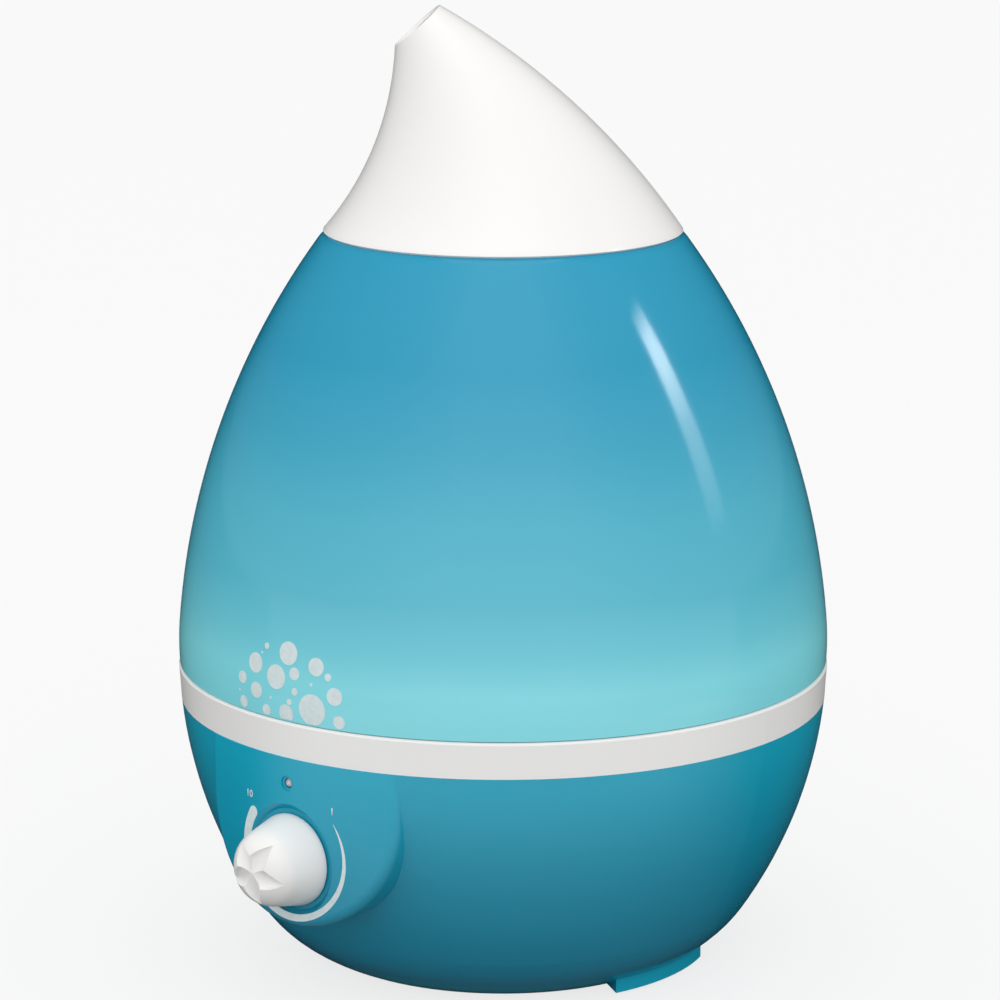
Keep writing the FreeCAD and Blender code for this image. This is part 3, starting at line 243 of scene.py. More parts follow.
def lathe(name, profile, segments):
    """Circle drawn out ring by ring along a profile of (radius, height) steps; a radius of 0 is a pole."""
    let_go()
    radius, height = profile[0]
    start = max(radius, POLE_RADIUS)
    bpy.ops.mesh.primitive_circle_add(vertices=segments, radius=start, location=(0, 0, 0))
    obj = bpy.context.object
    obj.name = name
    bpy.ops.object.mode_set(mode="EDIT")
    bpy.ops.mesh.select_all(action="SELECT")
    bpy.ops.transform.translate(value=(0, 0, height))
    here = start
    for radius, next_height in profile[1:]:
        bpy.ops.mesh.extrude_region_move(TRANSFORM_OT_translate={"value": (0, 0, next_height - height)})
        target = max(radius, POLE_RADIUS)
        scale = target / here
        bpy.ops.transform.resize(value=(scale, scale, 1), center_override=(0, 0, next_height))
        here, height = target, next_height
    bpy.ops.mesh.select_all(action="SELECT")
    bpy.ops.mesh.remove_doubles(threshold=MERGE_DISTANCE)
    if profile[0][0] == 0 or profile[-1][0] == 0:
        close_poles(obj)
    bpy.ops.mesh.select_all(action="SELECT")
    bpy.ops.mesh.normals_make_consistent(inside=False)
    bpy.ops.object.mode_set(mode="OBJECT")
    return obj


def close_poles(obj):
    """Merge the tiny rings that stand on the axis."""
    bpy.ops.mesh.select_all(action="DESELECT")
    bpy.ops.object.mode_set(mode="OBJECT")
    for vertex in obj.data.vertices:
        vertex.select = math.hypot(vertex.co.x, vertex.co.y) < 2 * POLE_RADIUS
    bpy.ops.object.mode_set(mode="EDIT")
    bpy.ops.mesh.remove_doubles(threshold=5 * POLE_RADIUS)


def smooth(obj, degrees):
    only(obj)
    bpy.ops.object.shade_smooth_by_angle(angle=math.radians(degrees))


def modifier(obj, kind, **values):
    """Add a modifier, set it and apply it."""
    only(obj)
    added = obj.modifiers.new(kind.title(), kind)
    for key, value in values.items():
        setattr(added, key, value)
    bpy.ops.object.modifier_apply(modifier=added.name)


def place(obj, matrix):
    """Move a finished mesh to its place, leaving its object at the origin."""
    obj.data.transform(matrix)
    obj.matrix_world = Matrix.Identity(4)
    obj.data.update()


def join(parts, name):
    only(parts[0])
    for part in parts[1:]:
        part.select_set(True)
    bpy.ops.object.join()
    obj = bpy.context.object
    obj.name = name
    return obj


def on_round(radius, angle, height):
    """Point on an upright round surface; the angle runs from the front towards +X."""
    return Vector((radius * math.sin(angle), -radius * math.cos(angle), height))


def face_out(obj):
    """Turn the faces of a sheet that lies on a round surface away from the object's axis."""
    only(obj)
    bpy.ops.object.mode_set(mode="EDIT")
    bpy.ops.mesh.select_all(action="SELECT")
    bpy.ops.mesh.normals_make_consistent(inside=False)
    bpy.ops.object.mode_set(mode="OBJECT")
    if sum(face.normal.x * face.center.x + face.normal.y * face.center.y for face in obj.data.polygons) < 0:
        obj.data.flip_normals()


def dress(obj, material):
    """Give a piece its only material, and its mesh the piece's name."""
    obj.data.materials.clear()
    obj.data.materials.append(material)
    obj.data.name = obj.name


def dress_node(node, material):
    """Put a material in every slot of a CAD node."""
    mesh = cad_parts[node].data
    if not mesh.materials:
        mesh.materials.append(material)
    for index in range(len(mesh.materials)):
        mesh.materials[index] = material


# ---- material helpers ---------------------------------------------------------------------
class Finish:
    """A Principled material with its procedural detail, built step by step."""

    # a Mix node's sockets by place, because its numbers and its colours have the same names
    mix_number_a, mix_number_b = 2, 3
    mix_colour_a, mix_colour_b, mix_colour_result = 6, 7, 2

    def __init__(self, name, colour, **sockets):
        self.material = bpy.data.materials.new(name)
        self.material.use_nodes = True
        self.tree = self.material.node_tree
        self.shader = self.tree.nodes["Principled BSDF"]
        self.shader.inputs["Base Color"].default_value = (*colour, 1)
        for key, value in sockets.items():
            self.shader.inputs[key].default_value = value
        self.coordinates = self.tree.nodes.new("ShaderNodeTexCoord")
        self.height = None

    def add(self, kind, **inputs):
        """Add a node; each input is a value or another node's socket."""
        node = self.tree.nodes.new(kind)
        for key, value in inputs.items():
            socket = node.inputs[key]
            if isinstance(value, bpy.types.NodeSocket):
                self.tree.links.new(value, socket)
            else:
                socket.default_value = value
        return node

    def noise(self, scale, detail, stretch=None):
        source = self.coordinates.outputs["Object"]
        if stretch:
            source = self.add("ShaderNodeMapping", Vector=source, Scale=stretch).outputs["Vector"]
        return self.add("ShaderNodeTexNoise", Vector=source, Scale=scale, Detail=detail).outputs["Fac"]

    def ramp(self, factor, stops):
        node = self.add("ShaderNodeValToRGB", Fac=factor)
        elements = node.color_ramp.elements
        while len(elements) < len(stops):
            elements.new(0.5)
        for element, (position, colour) in zip(elements, stops):
            element.position = position
            element.color = (*colour, 1)
        return node.outputs["Color"]

    def grey_range(self, factor, low, high):
        return self.add("ShaderNodeMapRange", Value=factor,
                        **{"To Min": low, "To Max": high}).outputs["Result"]

    def height_factor(self, low, high):
        """0 at the low height, 1 at the high one."""
        axes = self.add("ShaderNodeSeparateXYZ", Vector=self.coordinates.outputs["Object"])
        return self.add("ShaderNodeMapRange", Value=axes.outputs["Z"],
                        **{"From Min": low, "From Max": high}).outputs["Result"]

    def vary_colour(self, colour, factor, amount):
        """Darken a colour by a pattern, by the amount from 0 to 1."""
        mix = self.tree.nodes.new("ShaderNodeMix")
        mix.data_type = "RGBA"
        mix.blend_type = "MULTIPLY"
        mix.inputs[0].default_value = amount
        self.tree.links.new(colour, mix.inputs[self.mix_colour_a])
        self.tree.links.new(factor, mix.inputs[self.mix_colour_b])
        return mix.outputs[self.mix_colour_result]

    def base(self, socket):
        self.tree.links.new(socket, self.shader.inputs["Base Color"])

    def rough(self, factor, low, high):
        self.tree.links.new(self.grey_range(factor, low, high), self.shader.inputs["Roughness"])

    def bump(self, factor, depth, strength):
        """Stack a relief on what is there; depth in metres."""
        node = self.add("ShaderNodeBump", Height=factor, Strength=strength, Distance=depth)
        if self.height is not None:
            self.tree.links.new(self.height, node.inputs["Normal"])
        self.height = node.outputs["Normal"]
        self.tree.links.new(self.height, self.shader.inputs["Normal"])


def moulded(name, colour, roughness, grain, shift):
    """Moulded plastic: faint clouding in the colour, a little unevenness and a fine grain."""
    finish = Finish(name, colour, Roughness=roughness, IOR=1.5)
    cloud = finish.noise(14.0, 2.0)
    darker = tuple(c * (1 - shift) for c in colour)
    finish.base(finish.ramp(cloud, [(0.35, darker), (0.7, colour)]))
    finish.rough(finish.noise(60.0, 3.0), roughness * 0.85, roughness * 1.2)
    finish.bump(finish.noise(90.0, 2.0), 0.00003, 0.35)
    finish.bump(finish.noise(1800.0, 2.0), grain, 0.5)
    return finish


def metal(name, colour, roughness, stretch):
    """Worked metal: fine streaks along one way and small stains."""
    finish = Finish(name, colour, Metallic=1.0, Roughness=roughness)
    streaks = finish.noise(400.0, 3.0, stretch)
    stains = finish.noise(70.0, 4.0)
    finish.base(finish.ramp(stains, [(0.3, tuple(c * 0.8 for c in colour)), (0.65, colour)]))
    finish.rough(streaks, roughness * 0.7, roughness * 1.4)
    finish.bump(streaks, 0.00001, 0.6)
    return finish


def tinted_tank():
    """Tinted plastic with painted light: its colour grows paler towards the bottom, standing in for the white
    basin lighting it from below.
    """
    look = settings().tank
    wave_depth = 0.03
    finish = Finish("tank_tint", look.middle_painted_light, Roughness=0.1, IOR=1.5)
    finish.shader.inputs["Transmission Weight"].default_value = look.clearness
    up = finish.height_factor(TANK_LOW, TANK_TOP)
    wave = finish.noise(9.0, 1.0)
    bent = finish.add("ShaderNodeMath")
    bent.operation = "MULTIPLY_ADD"
    finish.tree.links.new(wave, bent.inputs[0])
    bent.inputs[1].default_value = wave_depth
    finish.tree.links.new(up, bent.inputs[2])
    # painted light: colour bands by height, paler towards the bottom where the white basin lights the tank,
    # their edges bent a little by noise
    top, middle, low = Vector(look.top_colour), Vector(look.middle_painted_light), Vector(look.low_painted_light_and_shade)
    finish.base(finish.ramp(bent.outputs[0], [
        (0.05, low), (0.11, low * 0.985), (0.19, low.lerp(middle, 0.45)), (0.30, low.lerp(middle, 0.82)),
        (0.46, middle), (0.62, middle.lerp(top, 0.62)), (0.78, top), (1.0, top)]))
    finish.rough(finish.noise(40.0, 2.0), 0.08, 0.12)
    finish.bump(finish.noise(22.0, 1.0), 0.00006, 0.15)
    return finish


def blue_bowl():
    """Glossy blue plastic with painted shade that darkens it towards the foot, a narrow painted reflection of
    the floor at the very foot, and a faint uneven grain.
    """
    look = settings().bowl
    finish = Finish("bowl_blue", look.top_colour, Roughness=0.15, IOR=1.5)
    up = finish.height_factor(0.0, RING_TOP)
    low, top = Vector(look.low_painted_light_and_shade), Vector(look.top_colour)
    # painted shade from under the ring down to the foot, and a narrow painted reflection of the floor that
    # lightens the lowest few millimetres
    base = finish.ramp(up, [(0.04, top), (0.09, low), (0.5, low.lerp(top, 0.42)), (0.85, top)])
    cloud = finish.ramp(finish.noise(16.0, 2.0), [(0.3, (0.9, 0.9, 0.9)), (0.7, (1, 1, 1))])
    finish.base(finish.vary_colour(base, cloud, 0.6))
    finish.rough(finish.noise(70.0, 3.0), 0.13, 0.19)
    finish.bump(finish.noise(60.0, 2.0), 0.00004, 0.2)
    finish.bump(finish.noise(1500.0, 2.0), 0.000015, 0.4)
    return finish


FINISHES = {}


def finish_of(name):
    return FINISHES[name].material


# ---- operators ----------------------------------------------------------------------------
class MakeFinishes(bpy.types.Operator):
    """Make the materials that the pieces share"""
    bl_idname = "humidifier.finishes"
    bl_label = "Finishes"

    def execute(self, context):
        white = tuple(settings().bowl.white)
        FINISHES.update({
            "tank": tinted_tank(),
            "bowl": blue_bowl(),
            "white": moulded("white_gloss", white, 0.22, 0.00001, 0.02),
            "inner_white": moulded("white_matte", linear(232, 232, 228), 0.5, 0.00002, 0.05),
            "black": moulded("black_plastic", linear(34, 34, 36), 0.45, 0.00004, 0.2),
            "rubber": moulded("foot_rubber", linear(30, 32, 34), 0.8, 0.00008, 0.25),
            "silicone": moulded("seal_silicone", linear(214, 214, 208), 0.55, 0.00003, 0.06),
            "steel": metal("screw_steel", linear(190, 190, 186), 0.3, (1, 1, 8)),
            "aluminium": metal("plain_aluminium", linear(205, 206, 208), 0.35, (1, 1, 12)),
            "ceramic": metal("disc_plating", linear(205, 184, 140), 0.28, (6, 1, 1)),
            "magnet": metal("magnet_nickel", linear(120, 120, 124), 0.35, (1, 6, 1)),
        })
        ink_colour = tuple(settings().prints.ink)
        ink = Finish("print_ink", ink_colour, Roughness=0.35)
        ink_shade = tuple(c * 0.9 for c in ink_colour)
        ink.base(ink.ramp(ink.noise(600.0, 3.0), [(0.25, ink_shade), (0.6, ink_colour)]))
        ink.bump(ink.noise(2500.0, 2.0), 0.00001, 0.4)
        lens = Finish("lens_clear", linear(236, 222, 226), Roughness=0.06, IOR=1.5)
        lens.shader.inputs["Transmission Weight"].default_value = 0.2
        lens.base(lens.ramp(lens.noise(900.0, 2.0), [(0.3, linear(206, 178, 190)),
                                                     (0.65, linear(240, 232, 234))]))
        lens.rough(lens.noise(700.0, 1.0), 0.04, 0.12)
        board = Finish("circuit_board", linear(24, 96, 58), Roughness=0.4)
        traces = board.add("ShaderNodeTexBrick", Vector=board.coordinates.outputs["Object"], Scale=260.0,
                           Color1=(*linear(30, 112, 66), 1), Color2=(*linear(24, 96, 58), 1),
                           Mortar=(*linear(52, 140, 84), 1))
        board.base(traces.outputs["Color"])
        board.rough(board.noise(300.0, 3.0), 0.3, 0.5)
        board.bump(traces.outputs["Fac"], 0.00003, 0.4)
        FINISHES.update({"ink": ink, "lens": lens, "board": board})
        return {"FINISHED"}


class MakeTank(bpy.types.Operator):
    """Tinted tank with its shoulder, the recess under the nozzle and the throat of the mist tube"""
    bl_idname = "humidifier.tank"
    bl_label = "Tank"

    edge = 0.7 * MM
    foot = 0.15 * MM
    recess = 51.0 * MM
    recess_depth = 12.0 * MM
    throat = 17.0 * MM
    socket = 19.1 * MM
    socket_depth = 7.6 * MM
    shoulder_turn = math.radians(80)
    shoulder_inset = 0.55
    rim_inset = 0.62

    def outside(self, shoulder):
        """Half section from the lower edge up the outside and over the round shoulder to the rim."""
        points = [(tank_radius(TANK_LOW + self.foot, self.foot), TANK_LOW)]
        points += [(tank_radius(z), z) for z in steps(TANK_LOW + self.foot, TANK_TOP - shoulder, 56)]
        for angle in steps(0, self.shoulder_turn, 7)[1:]:
            height = TANK_TOP - shoulder + shoulder * math.sin(angle)
            pulled_in = self.shoulder_inset * shoulder * (1 - math.cos(angle))
            points.append((tank_radius(height) - pulled_in, height))
        return points + [(tank_radius(TANK_TOP) - self.rim_inset * shoulder, TANK_TOP)]

    def inside(self, wall):
        """Half section from the rim round the recess, throat and tube's socket, then down the wall."""
        edge, recess, throat = self.edge, self.recess, self.throat
        floor = TANK_TOP - self.recess_depth
        under = floor - wall
        socket_low = under - self.socket_depth
        socket_out = self.socket + wall
        points = [(recess + edge, TANK_TOP), (recess + 0.3 * edge, TANK_TOP - 0.3 * edge),
                  (recess, TANK_TOP - edge), (recess, floor + edge), (recess - edge, floor),
                  (throat + edge, floor), (throat, floor - edge), (throat, under),
                  (self.socket, under), (self.socket, socket_low), (socket_out, socket_low),
                  (socket_out, under), (recess + wall, under), (recess + wall, TANK_TOP - wall),
                  (tank_radius(TANK_TOP - wall, wall), TANK_TOP - wall)]
        levels = reversed(steps(TANK_LOW, TANK_TOP - wall, 40)[:-1])
        return points + [(tank_radius(z, wall), z) for z in levels]

    def execute(self, context):
        look = settings().tank
        profile = self.outside(look.shoulder) + self.inside(look.wall)
        obj = lathe("tank_skin", profile + profile[:1], 192)
        smooth(obj, 35)
        dress(obj, finish_of("tank"))
        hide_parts("tank_shell")
        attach(obj, "tank")
        return {"FINISHED"}


class MakeNozzle(bpy.types.Operator):
    """Leaning nozzle drawn up from level rings, cut slanting at the tip and given its wall"""
    bl_idname = "humidifier.nozzle"
    bl_label = "Nozzle"

    lean_curve = 97.7 * MM
    back_curve = 240.1 * MM
    tip_offset = -20.3 * MM
    outlet_offset = -34.8 * MM
    outlet_drop = 12.8 * MM
    base = 58.5 * MM
    overshoot = 1.5 * MM
    lip = 0.45 * MM
    web_inner = 50.85 * MM
    web_outer = 56.6 * MM
    web_low = 1.2 * MM
    web_high = 3.2 * MM
    web_lean = 1.2 * MM
    web_edge = 0.3 * MM

    @staticmethod
    def arc_centre(first, second, radius):
        """Centre, on the left of the way from the first point to the second, of the arc through both."""
        chord_x, chord_z = second[0] - first[0], second[1] - first[1]
        chord = math.hypot(chord_x, chord_z)
        reach = math.sqrt(radius ** 2 - (chord / 2) ** 2)
        return ((first[0] + second[0]) / 2 - reach * chord_z / chord,
                (first[1] + second[1]) / 2 + reach * chord_x / chord)

    def execute(self, context):
        look = settings().nozzle
        outlet = (self.outlet_offset, TIP_HEIGHT - self.outlet_drop)
        lean = self.arc_centre((-self.base, NOZZLE_LOW), outlet, self.lean_curve)
        back = self.arc_centre((self.base, NOZZLE_LOW), (self.tip_offset, TIP_HEIGHT), self.back_curve)

        def span(height):
            """Middle and radius of the level ring at a height."""
            low = lean[0] + math.sqrt(self.lean_curve ** 2 - (height - lean[1]) ** 2)
            high = back[0] + math.sqrt(self.back_curve ** 2 - (height - back[1]) ** 2)
            return (low + high) / 2, (high - low) / 2

        let_go()
        middle, radius = span(NOZZLE_LOW)
        bpy.ops.mesh.primitive_circle_add(vertices=160, radius=radius, location=(0, 0, 0))
        obj = bpy.context.object
        bpy.ops.object.mode_set(mode="EDIT")
        bpy.ops.mesh.select_all(action="SELECT")
        bpy.ops.transform.translate(value=(middle, 0, NOZZLE_LOW))
        height = NOZZLE_LOW
        for level in steps(NOZZLE_LOW, TIP_HEIGHT + self.overshoot, look.rings)[1:]:
            next_middle, next_radius = span(level)
            bpy.ops.mesh.extrude_region_move(
                TRANSFORM_OT_translate={"value": (next_middle - middle, 0, level - height)})
            scale = next_radius / radius
            bpy.ops.transform.resize(value=(scale, scale, 1), center_override=(next_middle, 0, level))
            middle, radius, height = next_middle, next_radius, level
        bpy.ops.mesh.select_all(action="SELECT")
        slant = Vector((self.tip_offset - self.outlet_offset, 0, self.outlet_drop)).normalized()
        away = Vector((-slant.z, 0, slant.x))
        bpy.ops.mesh.bisect(plane_co=(self.tip_offset, 0, TIP_HEIGHT), plane_no=away, clear_outer=True,
                            clear_inner=False, threshold=1e-6)
        bpy.ops.mesh.select_all(action="SELECT")
        bpy.ops.mesh.normals_make_consistent(inside=False)
        bpy.ops.object.mode_set(mode="OBJECT")
        modifier(obj, "SOLIDIFY", thickness=look.wall, offset=-1.0, use_even_offset=True, use_rim=True)
        modifier(obj, "BEVEL", width=self.lip, segments=3, limit_method="ANGLE", angle_limit=math.radians(50))
        obj = join([obj, self.web()], "nozzle_skin")
        place(obj, Matrix.Rotation(look.heading, 4, "Z"))
        smooth(obj, 40)
        dress(obj, finish_of("white"))
        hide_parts("nozzle")
        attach(obj, "nozzle")
        return {"FINISHED"}

    def web(self):
        """Flat ring inside the foot of the nozzle that turns on the cup."""
        low, high = NOZZLE_LOW + self.web_low, NOZZLE_LOW + self.web_high
        inner, outer, soft = self.web_inner, self.web_outer, self.web_edge
        return lathe("web", [(inner + soft, low), (outer, low), (outer - self.web_lean, high),
                             (inner + soft, high), (inner, high - soft), (inner, low + soft),
                             (inner + soft, low)], 128)


class MakeKnob(bpy.types.Operator):
    """Domed knob with a star of pointed scoops in its face"""
    bl_idname = "humidifier.knob"
    bl_label = "Knob"

    cavity = 6.8 * MM
    cavity_depth = 4.0 * MM
    shaft = 3.05 * MM
    shaft_gap = 0.05 * MM
    edge = 0.35 * MM
    rounding = 0.4 * MM

    def profile(self, look):
        """Half section from the shaft's bore round the skirt to the crown, and the shoulder's centre."""
        slope = look.draft / look.height
        lean = math.hypot(1, slope)
        dome_z = look.height - look.dome
        side_x = look.radius - slope * dome_z - look.shoulder * lean
        reach = look.dome - look.shoulder
        rise = (slope * side_x + math.sqrt(reach ** 2 * lean ** 2 - side_x ** 2)) / lean ** 2
        arc_x, arc_z = side_x - slope * rise, dome_z + rise
        first, last = math.atan(slope), math.atan2(rise, arc_x)
        shaft_depth = KNOB_BACK - bottom_of("pot_shaft").y + self.shaft_gap
        edge = self.edge
        points = [(0, shaft_depth), (self.shaft, shaft_depth), (self.shaft, self.cavity_depth),
                  (self.cavity, self.cavity_depth), (self.cavity, edge), (self.cavity + edge, 0),
                  (look.radius - edge, 0), (look.radius - 0.3 * edge, 0.3 * edge)]
        side_end = arc_z + look.shoulder * math.sin(first)
        points += [(look.radius - slope * z, z) for z in steps(edge, side_end, 8)]
        points += [(arc_x + look.shoulder * math.cos(a), arc_z + look.shoulder * math.sin(a))
                   for a in steps(first, last, 16)[1:]]
        points += [(look.dome * math.cos(a), dome_z + look.dome * math.sin(a))
                   for a in steps(last, math.pi / 2, 8)[1:-1]]
        return points + [(0, look.height)], arc_x, arc_z

    def execute(self, context):
        look = settings().knob
        profile, arc_x, arc_z = self.profile(look)
        obj = lathe("knob_skin", profile, 160)
        tip = Vector((look.reach, 0, arc_z + math.sqrt(look.shoulder ** 2 - (look.reach - arc_x) ** 2)))
        rise = look.spread + math.atan2(look.height - look.depth - tip.z, look.reach)
        length = look.height
        for i in range(look.scoops):
            let_go()
            bpy.ops.mesh.primitive_cone_add(vertices=96, radius1=0, radius2=length * math.tan(look.spread),
                                            depth=length, location=(0, 0, 0))
            cone = bpy.context.object
            lean = Matrix.Rotation(rise - math.pi / 2, 4, "Y")
            turn = Matrix.Rotation(look.heading + 2 * math.pi * i / look.scoops, 4, "Z")
            place(cone, turn @ Matrix.Translation(tip) @ lean @ Matrix.Translation((0, 0, length / 2)))
            modifier(obj, "BOOLEAN", operation="DIFFERENCE", solver="EXACT", object=cone)
            bpy.data.objects.remove(cone, do_unlink=True)
        modifier(obj, "BEVEL", width=self.rounding, segments=3, limit_method="ANGLE",
                 angle_limit=math.radians(24))
        face_front = Matrix.Rotation(math.radians(90), 4, "X")
        place(obj, Matrix.Translation((0, KNOB_BACK, DIAL_HEIGHT)) @ face_front)
        smooth(obj, 40)
        dress(obj, finish_of("white"))
        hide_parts("control_knob")
        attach(obj, "knob")
        return {"FINISHED"}


class MakeDots(bpy.types.Operator):
    """Cluster of round dots printed on the tank above the ring"""
    bl_idname = "humidifier.dots"
    bl_label = "Printed dots"

    # place along the surface from the front, height above the ring, radius; millimetres
    dots = ((0.5, 22.0, 3.7), (-9.0, 22.8, 1.0), (-11.0, 20.4, 0.4), (-13.8, 16.6, 3.2), (-4.2, 13.8, 3.9),
            (3.4, 16.0, 2.0), (11.8, 19.4, 2.9), (16.4, 16.8, 1.2), (-20.0, 10.8, 2.0), (10.2, 13.6, 0.5),
            (-13.0, 8.0, 2.6), (3.8, 10.4, 1.2), (19.0, 11.0, 2.8), (-21.4, 6.4, 0.4), (-6.4, 6.8, 0.45),
            (1.6, 6.8, 1.0), (-19.4, 3.0, 1.9), (-8.4, 2.4, 1.8), (0.2, 2.8, 2.9), (10.6, 5.6, 5.0),
            (20.6, 3.0, 2.1))
    cut_height = 0.9 * MM
    rings = 4

    def execute(self, context):
        made = [self.dot(along * MM, rise * MM, radius * MM) for along, rise, radius in self.dots]
        obj = join(made, "tank_dots")
        modifier(obj, "SOLIDIFY", thickness=PRINT_THICKNESS, offset=-1.0)
        smooth(obj, 40)
        dress(obj, finish_of("ink"))
        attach(obj, "tank")
        return {"FINISHED"}

    def dot(self, along, rise, radius):
        """Flat disc of rings, cut level near the tank's lower edge and laid on its surface."""
        profile = [(radius * (1 - i / self.rings), 0.0) for i in range(self.rings)]
        obj = lathe("dot", profile + [(0.0, 0.0)], 40)
        if rise - radius < self.cut_height:
            only(obj)
            bpy.ops.object.mode_set(mode="EDIT")
            bpy.ops.mesh.select_all(action="SELECT")
            bpy.ops.mesh.bisect(plane_co=(0, self.cut_height - rise, 0), plane_no=(0, -1, 0),
                                clear_outer=True)
            bpy.ops.object.mode_set(mode="OBJECT")
        for vertex in obj.data.vertices:
            height = RING_TOP + rise + vertex.co.y
            angle = (along + vertex.co.x) / TANK_WIDEST
            vertex.co = on_round(tank_radius(height) + PRINT_LIFT, angle, height)
        face_out(obj)
        return obj


class MakeDialPrint(bpy.types.Operator):
    """Crescent scale round the knob and a plain number at each end, printed on the panel"""
    bl_idname = "humidifier.dial_print"
    bl_label = "Dial print"

    centre_rise = 2.0 * MM
    centre_shift = 0.9 * MM
    outer = 21.5 * MM
    widest = 3.7 * MM
    narrowest = 0.18 * MM
    growth = 0.58
    start = math.radians(37)
    sweep = math.radians(256)
    low_place = (17.6 * MM, 17.0 * MM)
    high_place = (-17.4 * MM, 16.4 * MM)
    figure_share = 0.7
    figure_weight = 0.05 * MM

    def wrap(self, obj):
        """Lay a flat piece, drawn in X and Y round the scale's centre, on the panel's upright round face."""
        for vertex in obj.data.vertices:
            height = DIAL_HEIGHT + self.centre_rise + vertex.co.y
            vertex.co = on_round(PANEL_RADIUS + PRINT_LIFT, vertex.co.x / PANEL_RADIUS, height)
        face_out(obj)
        return obj

    def crescent(self):
        """Strip that starts thin at the low end, runs clockwise and ends wide and round at the high end."""
        let_go()
        bpy.ops.mesh.primitive_grid_add(x_subdivisions=180, y_subdivisions=3, size=1, location=(0, 0, 0))
        obj = bpy.context.object
        cap = self.widest / 2 / (self.outer - self.widest / 2) / self.sweep
        for vertex in obj.data.vertices:
            share = math.sin((vertex.co.x + 0.5) * math.pi / 2)
            width = max(self.narrowest, self.widest * share ** self.growth)
            round_off = max(0.0, (share - 1 + cap) / cap)
            across = vertex.co.y * width * math.sqrt(max(0.0, 1 - round_off ** 2))
            turn = self.start - self.sweep * share
            reach = self.outer - width / 2 + across
            vertex.co = (self.centre_shift + reach * math.cos(turn), reach * math.sin(turn), 0)
        only(obj)
        bpy.ops.object.mode_set(mode="EDIT")
        bpy.ops.mesh.select_all(action="SELECT")
        bpy.ops.mesh.remove_doubles(threshold=1e-6)
        bpy.ops.object.mode_set(mode="OBJECT")
        return self.wrap(obj)

    def number(self, text, place_at):
        """Number as tall as the setting says; a figure takes up a fixed share of its font's size."""
        let_go()
        bpy.ops.object.text_add(location=(0, 0, 0))
        obj = bpy.context.object
        obj.data.body = text
        obj.data.align_x = "CENTER"
        obj.data.align_y = "CENTER"
        obj.data.size = settings().prints.number_height / self.figure_share
        obj.data.offset = self.figure_weight
        bpy.ops.object.convert(target="MESH")
        place(obj, Matrix.Translation((*place_at, 0)))
        return self.wrap(obj)

    def execute(self, context):
        look = settings().prints
        pieces = [self.crescent(), self.number(look.low_number, self.low_place),
                  self.number(look.high_number, self.high_place)]
        obj = join(pieces, "dial_print")
        modifier(obj, "SOLIDIFY", thickness=PRINT_THICKNESS, offset=-1.0)
        dress(obj, finish_of("ink"))
        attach(obj, "base")
        return {"FINISHED"}


class DressFittings(bpy.types.Operator):
    """Finishes on the pieces that keep their own form"""
    bl_idname = "humidifier.fittings"
    bl_label = "Fittings"

    plan = {
        "bowl": ("base_housing", "intake_grille"),
        "white": ("basin", "mist_cup"),
        "rubber": ("foot_pads",),
        "inner_white": ("tank_floor", "mist_tube", "tank_cap", "valve_plunger", "float_ring", "float_clip",
                        "air_duct"),
        "silicone": ("mist_tube_seal", "cap_gasket", "valve_seal", "transducer_seal"),
        "steel": ("basin_screws", "retainer_screws", "fan_screws", "driver_screws", "board_screws",
                  "valve_spring", "pot_nut", "socket_nut"),
        "aluminium": ("heat_sink", "pot_shaft"),
        "ceramic": ("transducer_disc",),
        "magnet": ("float_magnet",),
        "black": ("transducer_retainer", "fan_frame", "fan_rotor", "potentiometer", "dc_socket"),
        "board": ("driver_board", "control_board"),
        "lens": ("indicator_led", "reed_switch"),
    }

    def execute(self, context):
        for name, nodes in self.plan.items():
            for node in nodes:
                dress_node(node, finish_of(name))
        return {"FINISHED"}


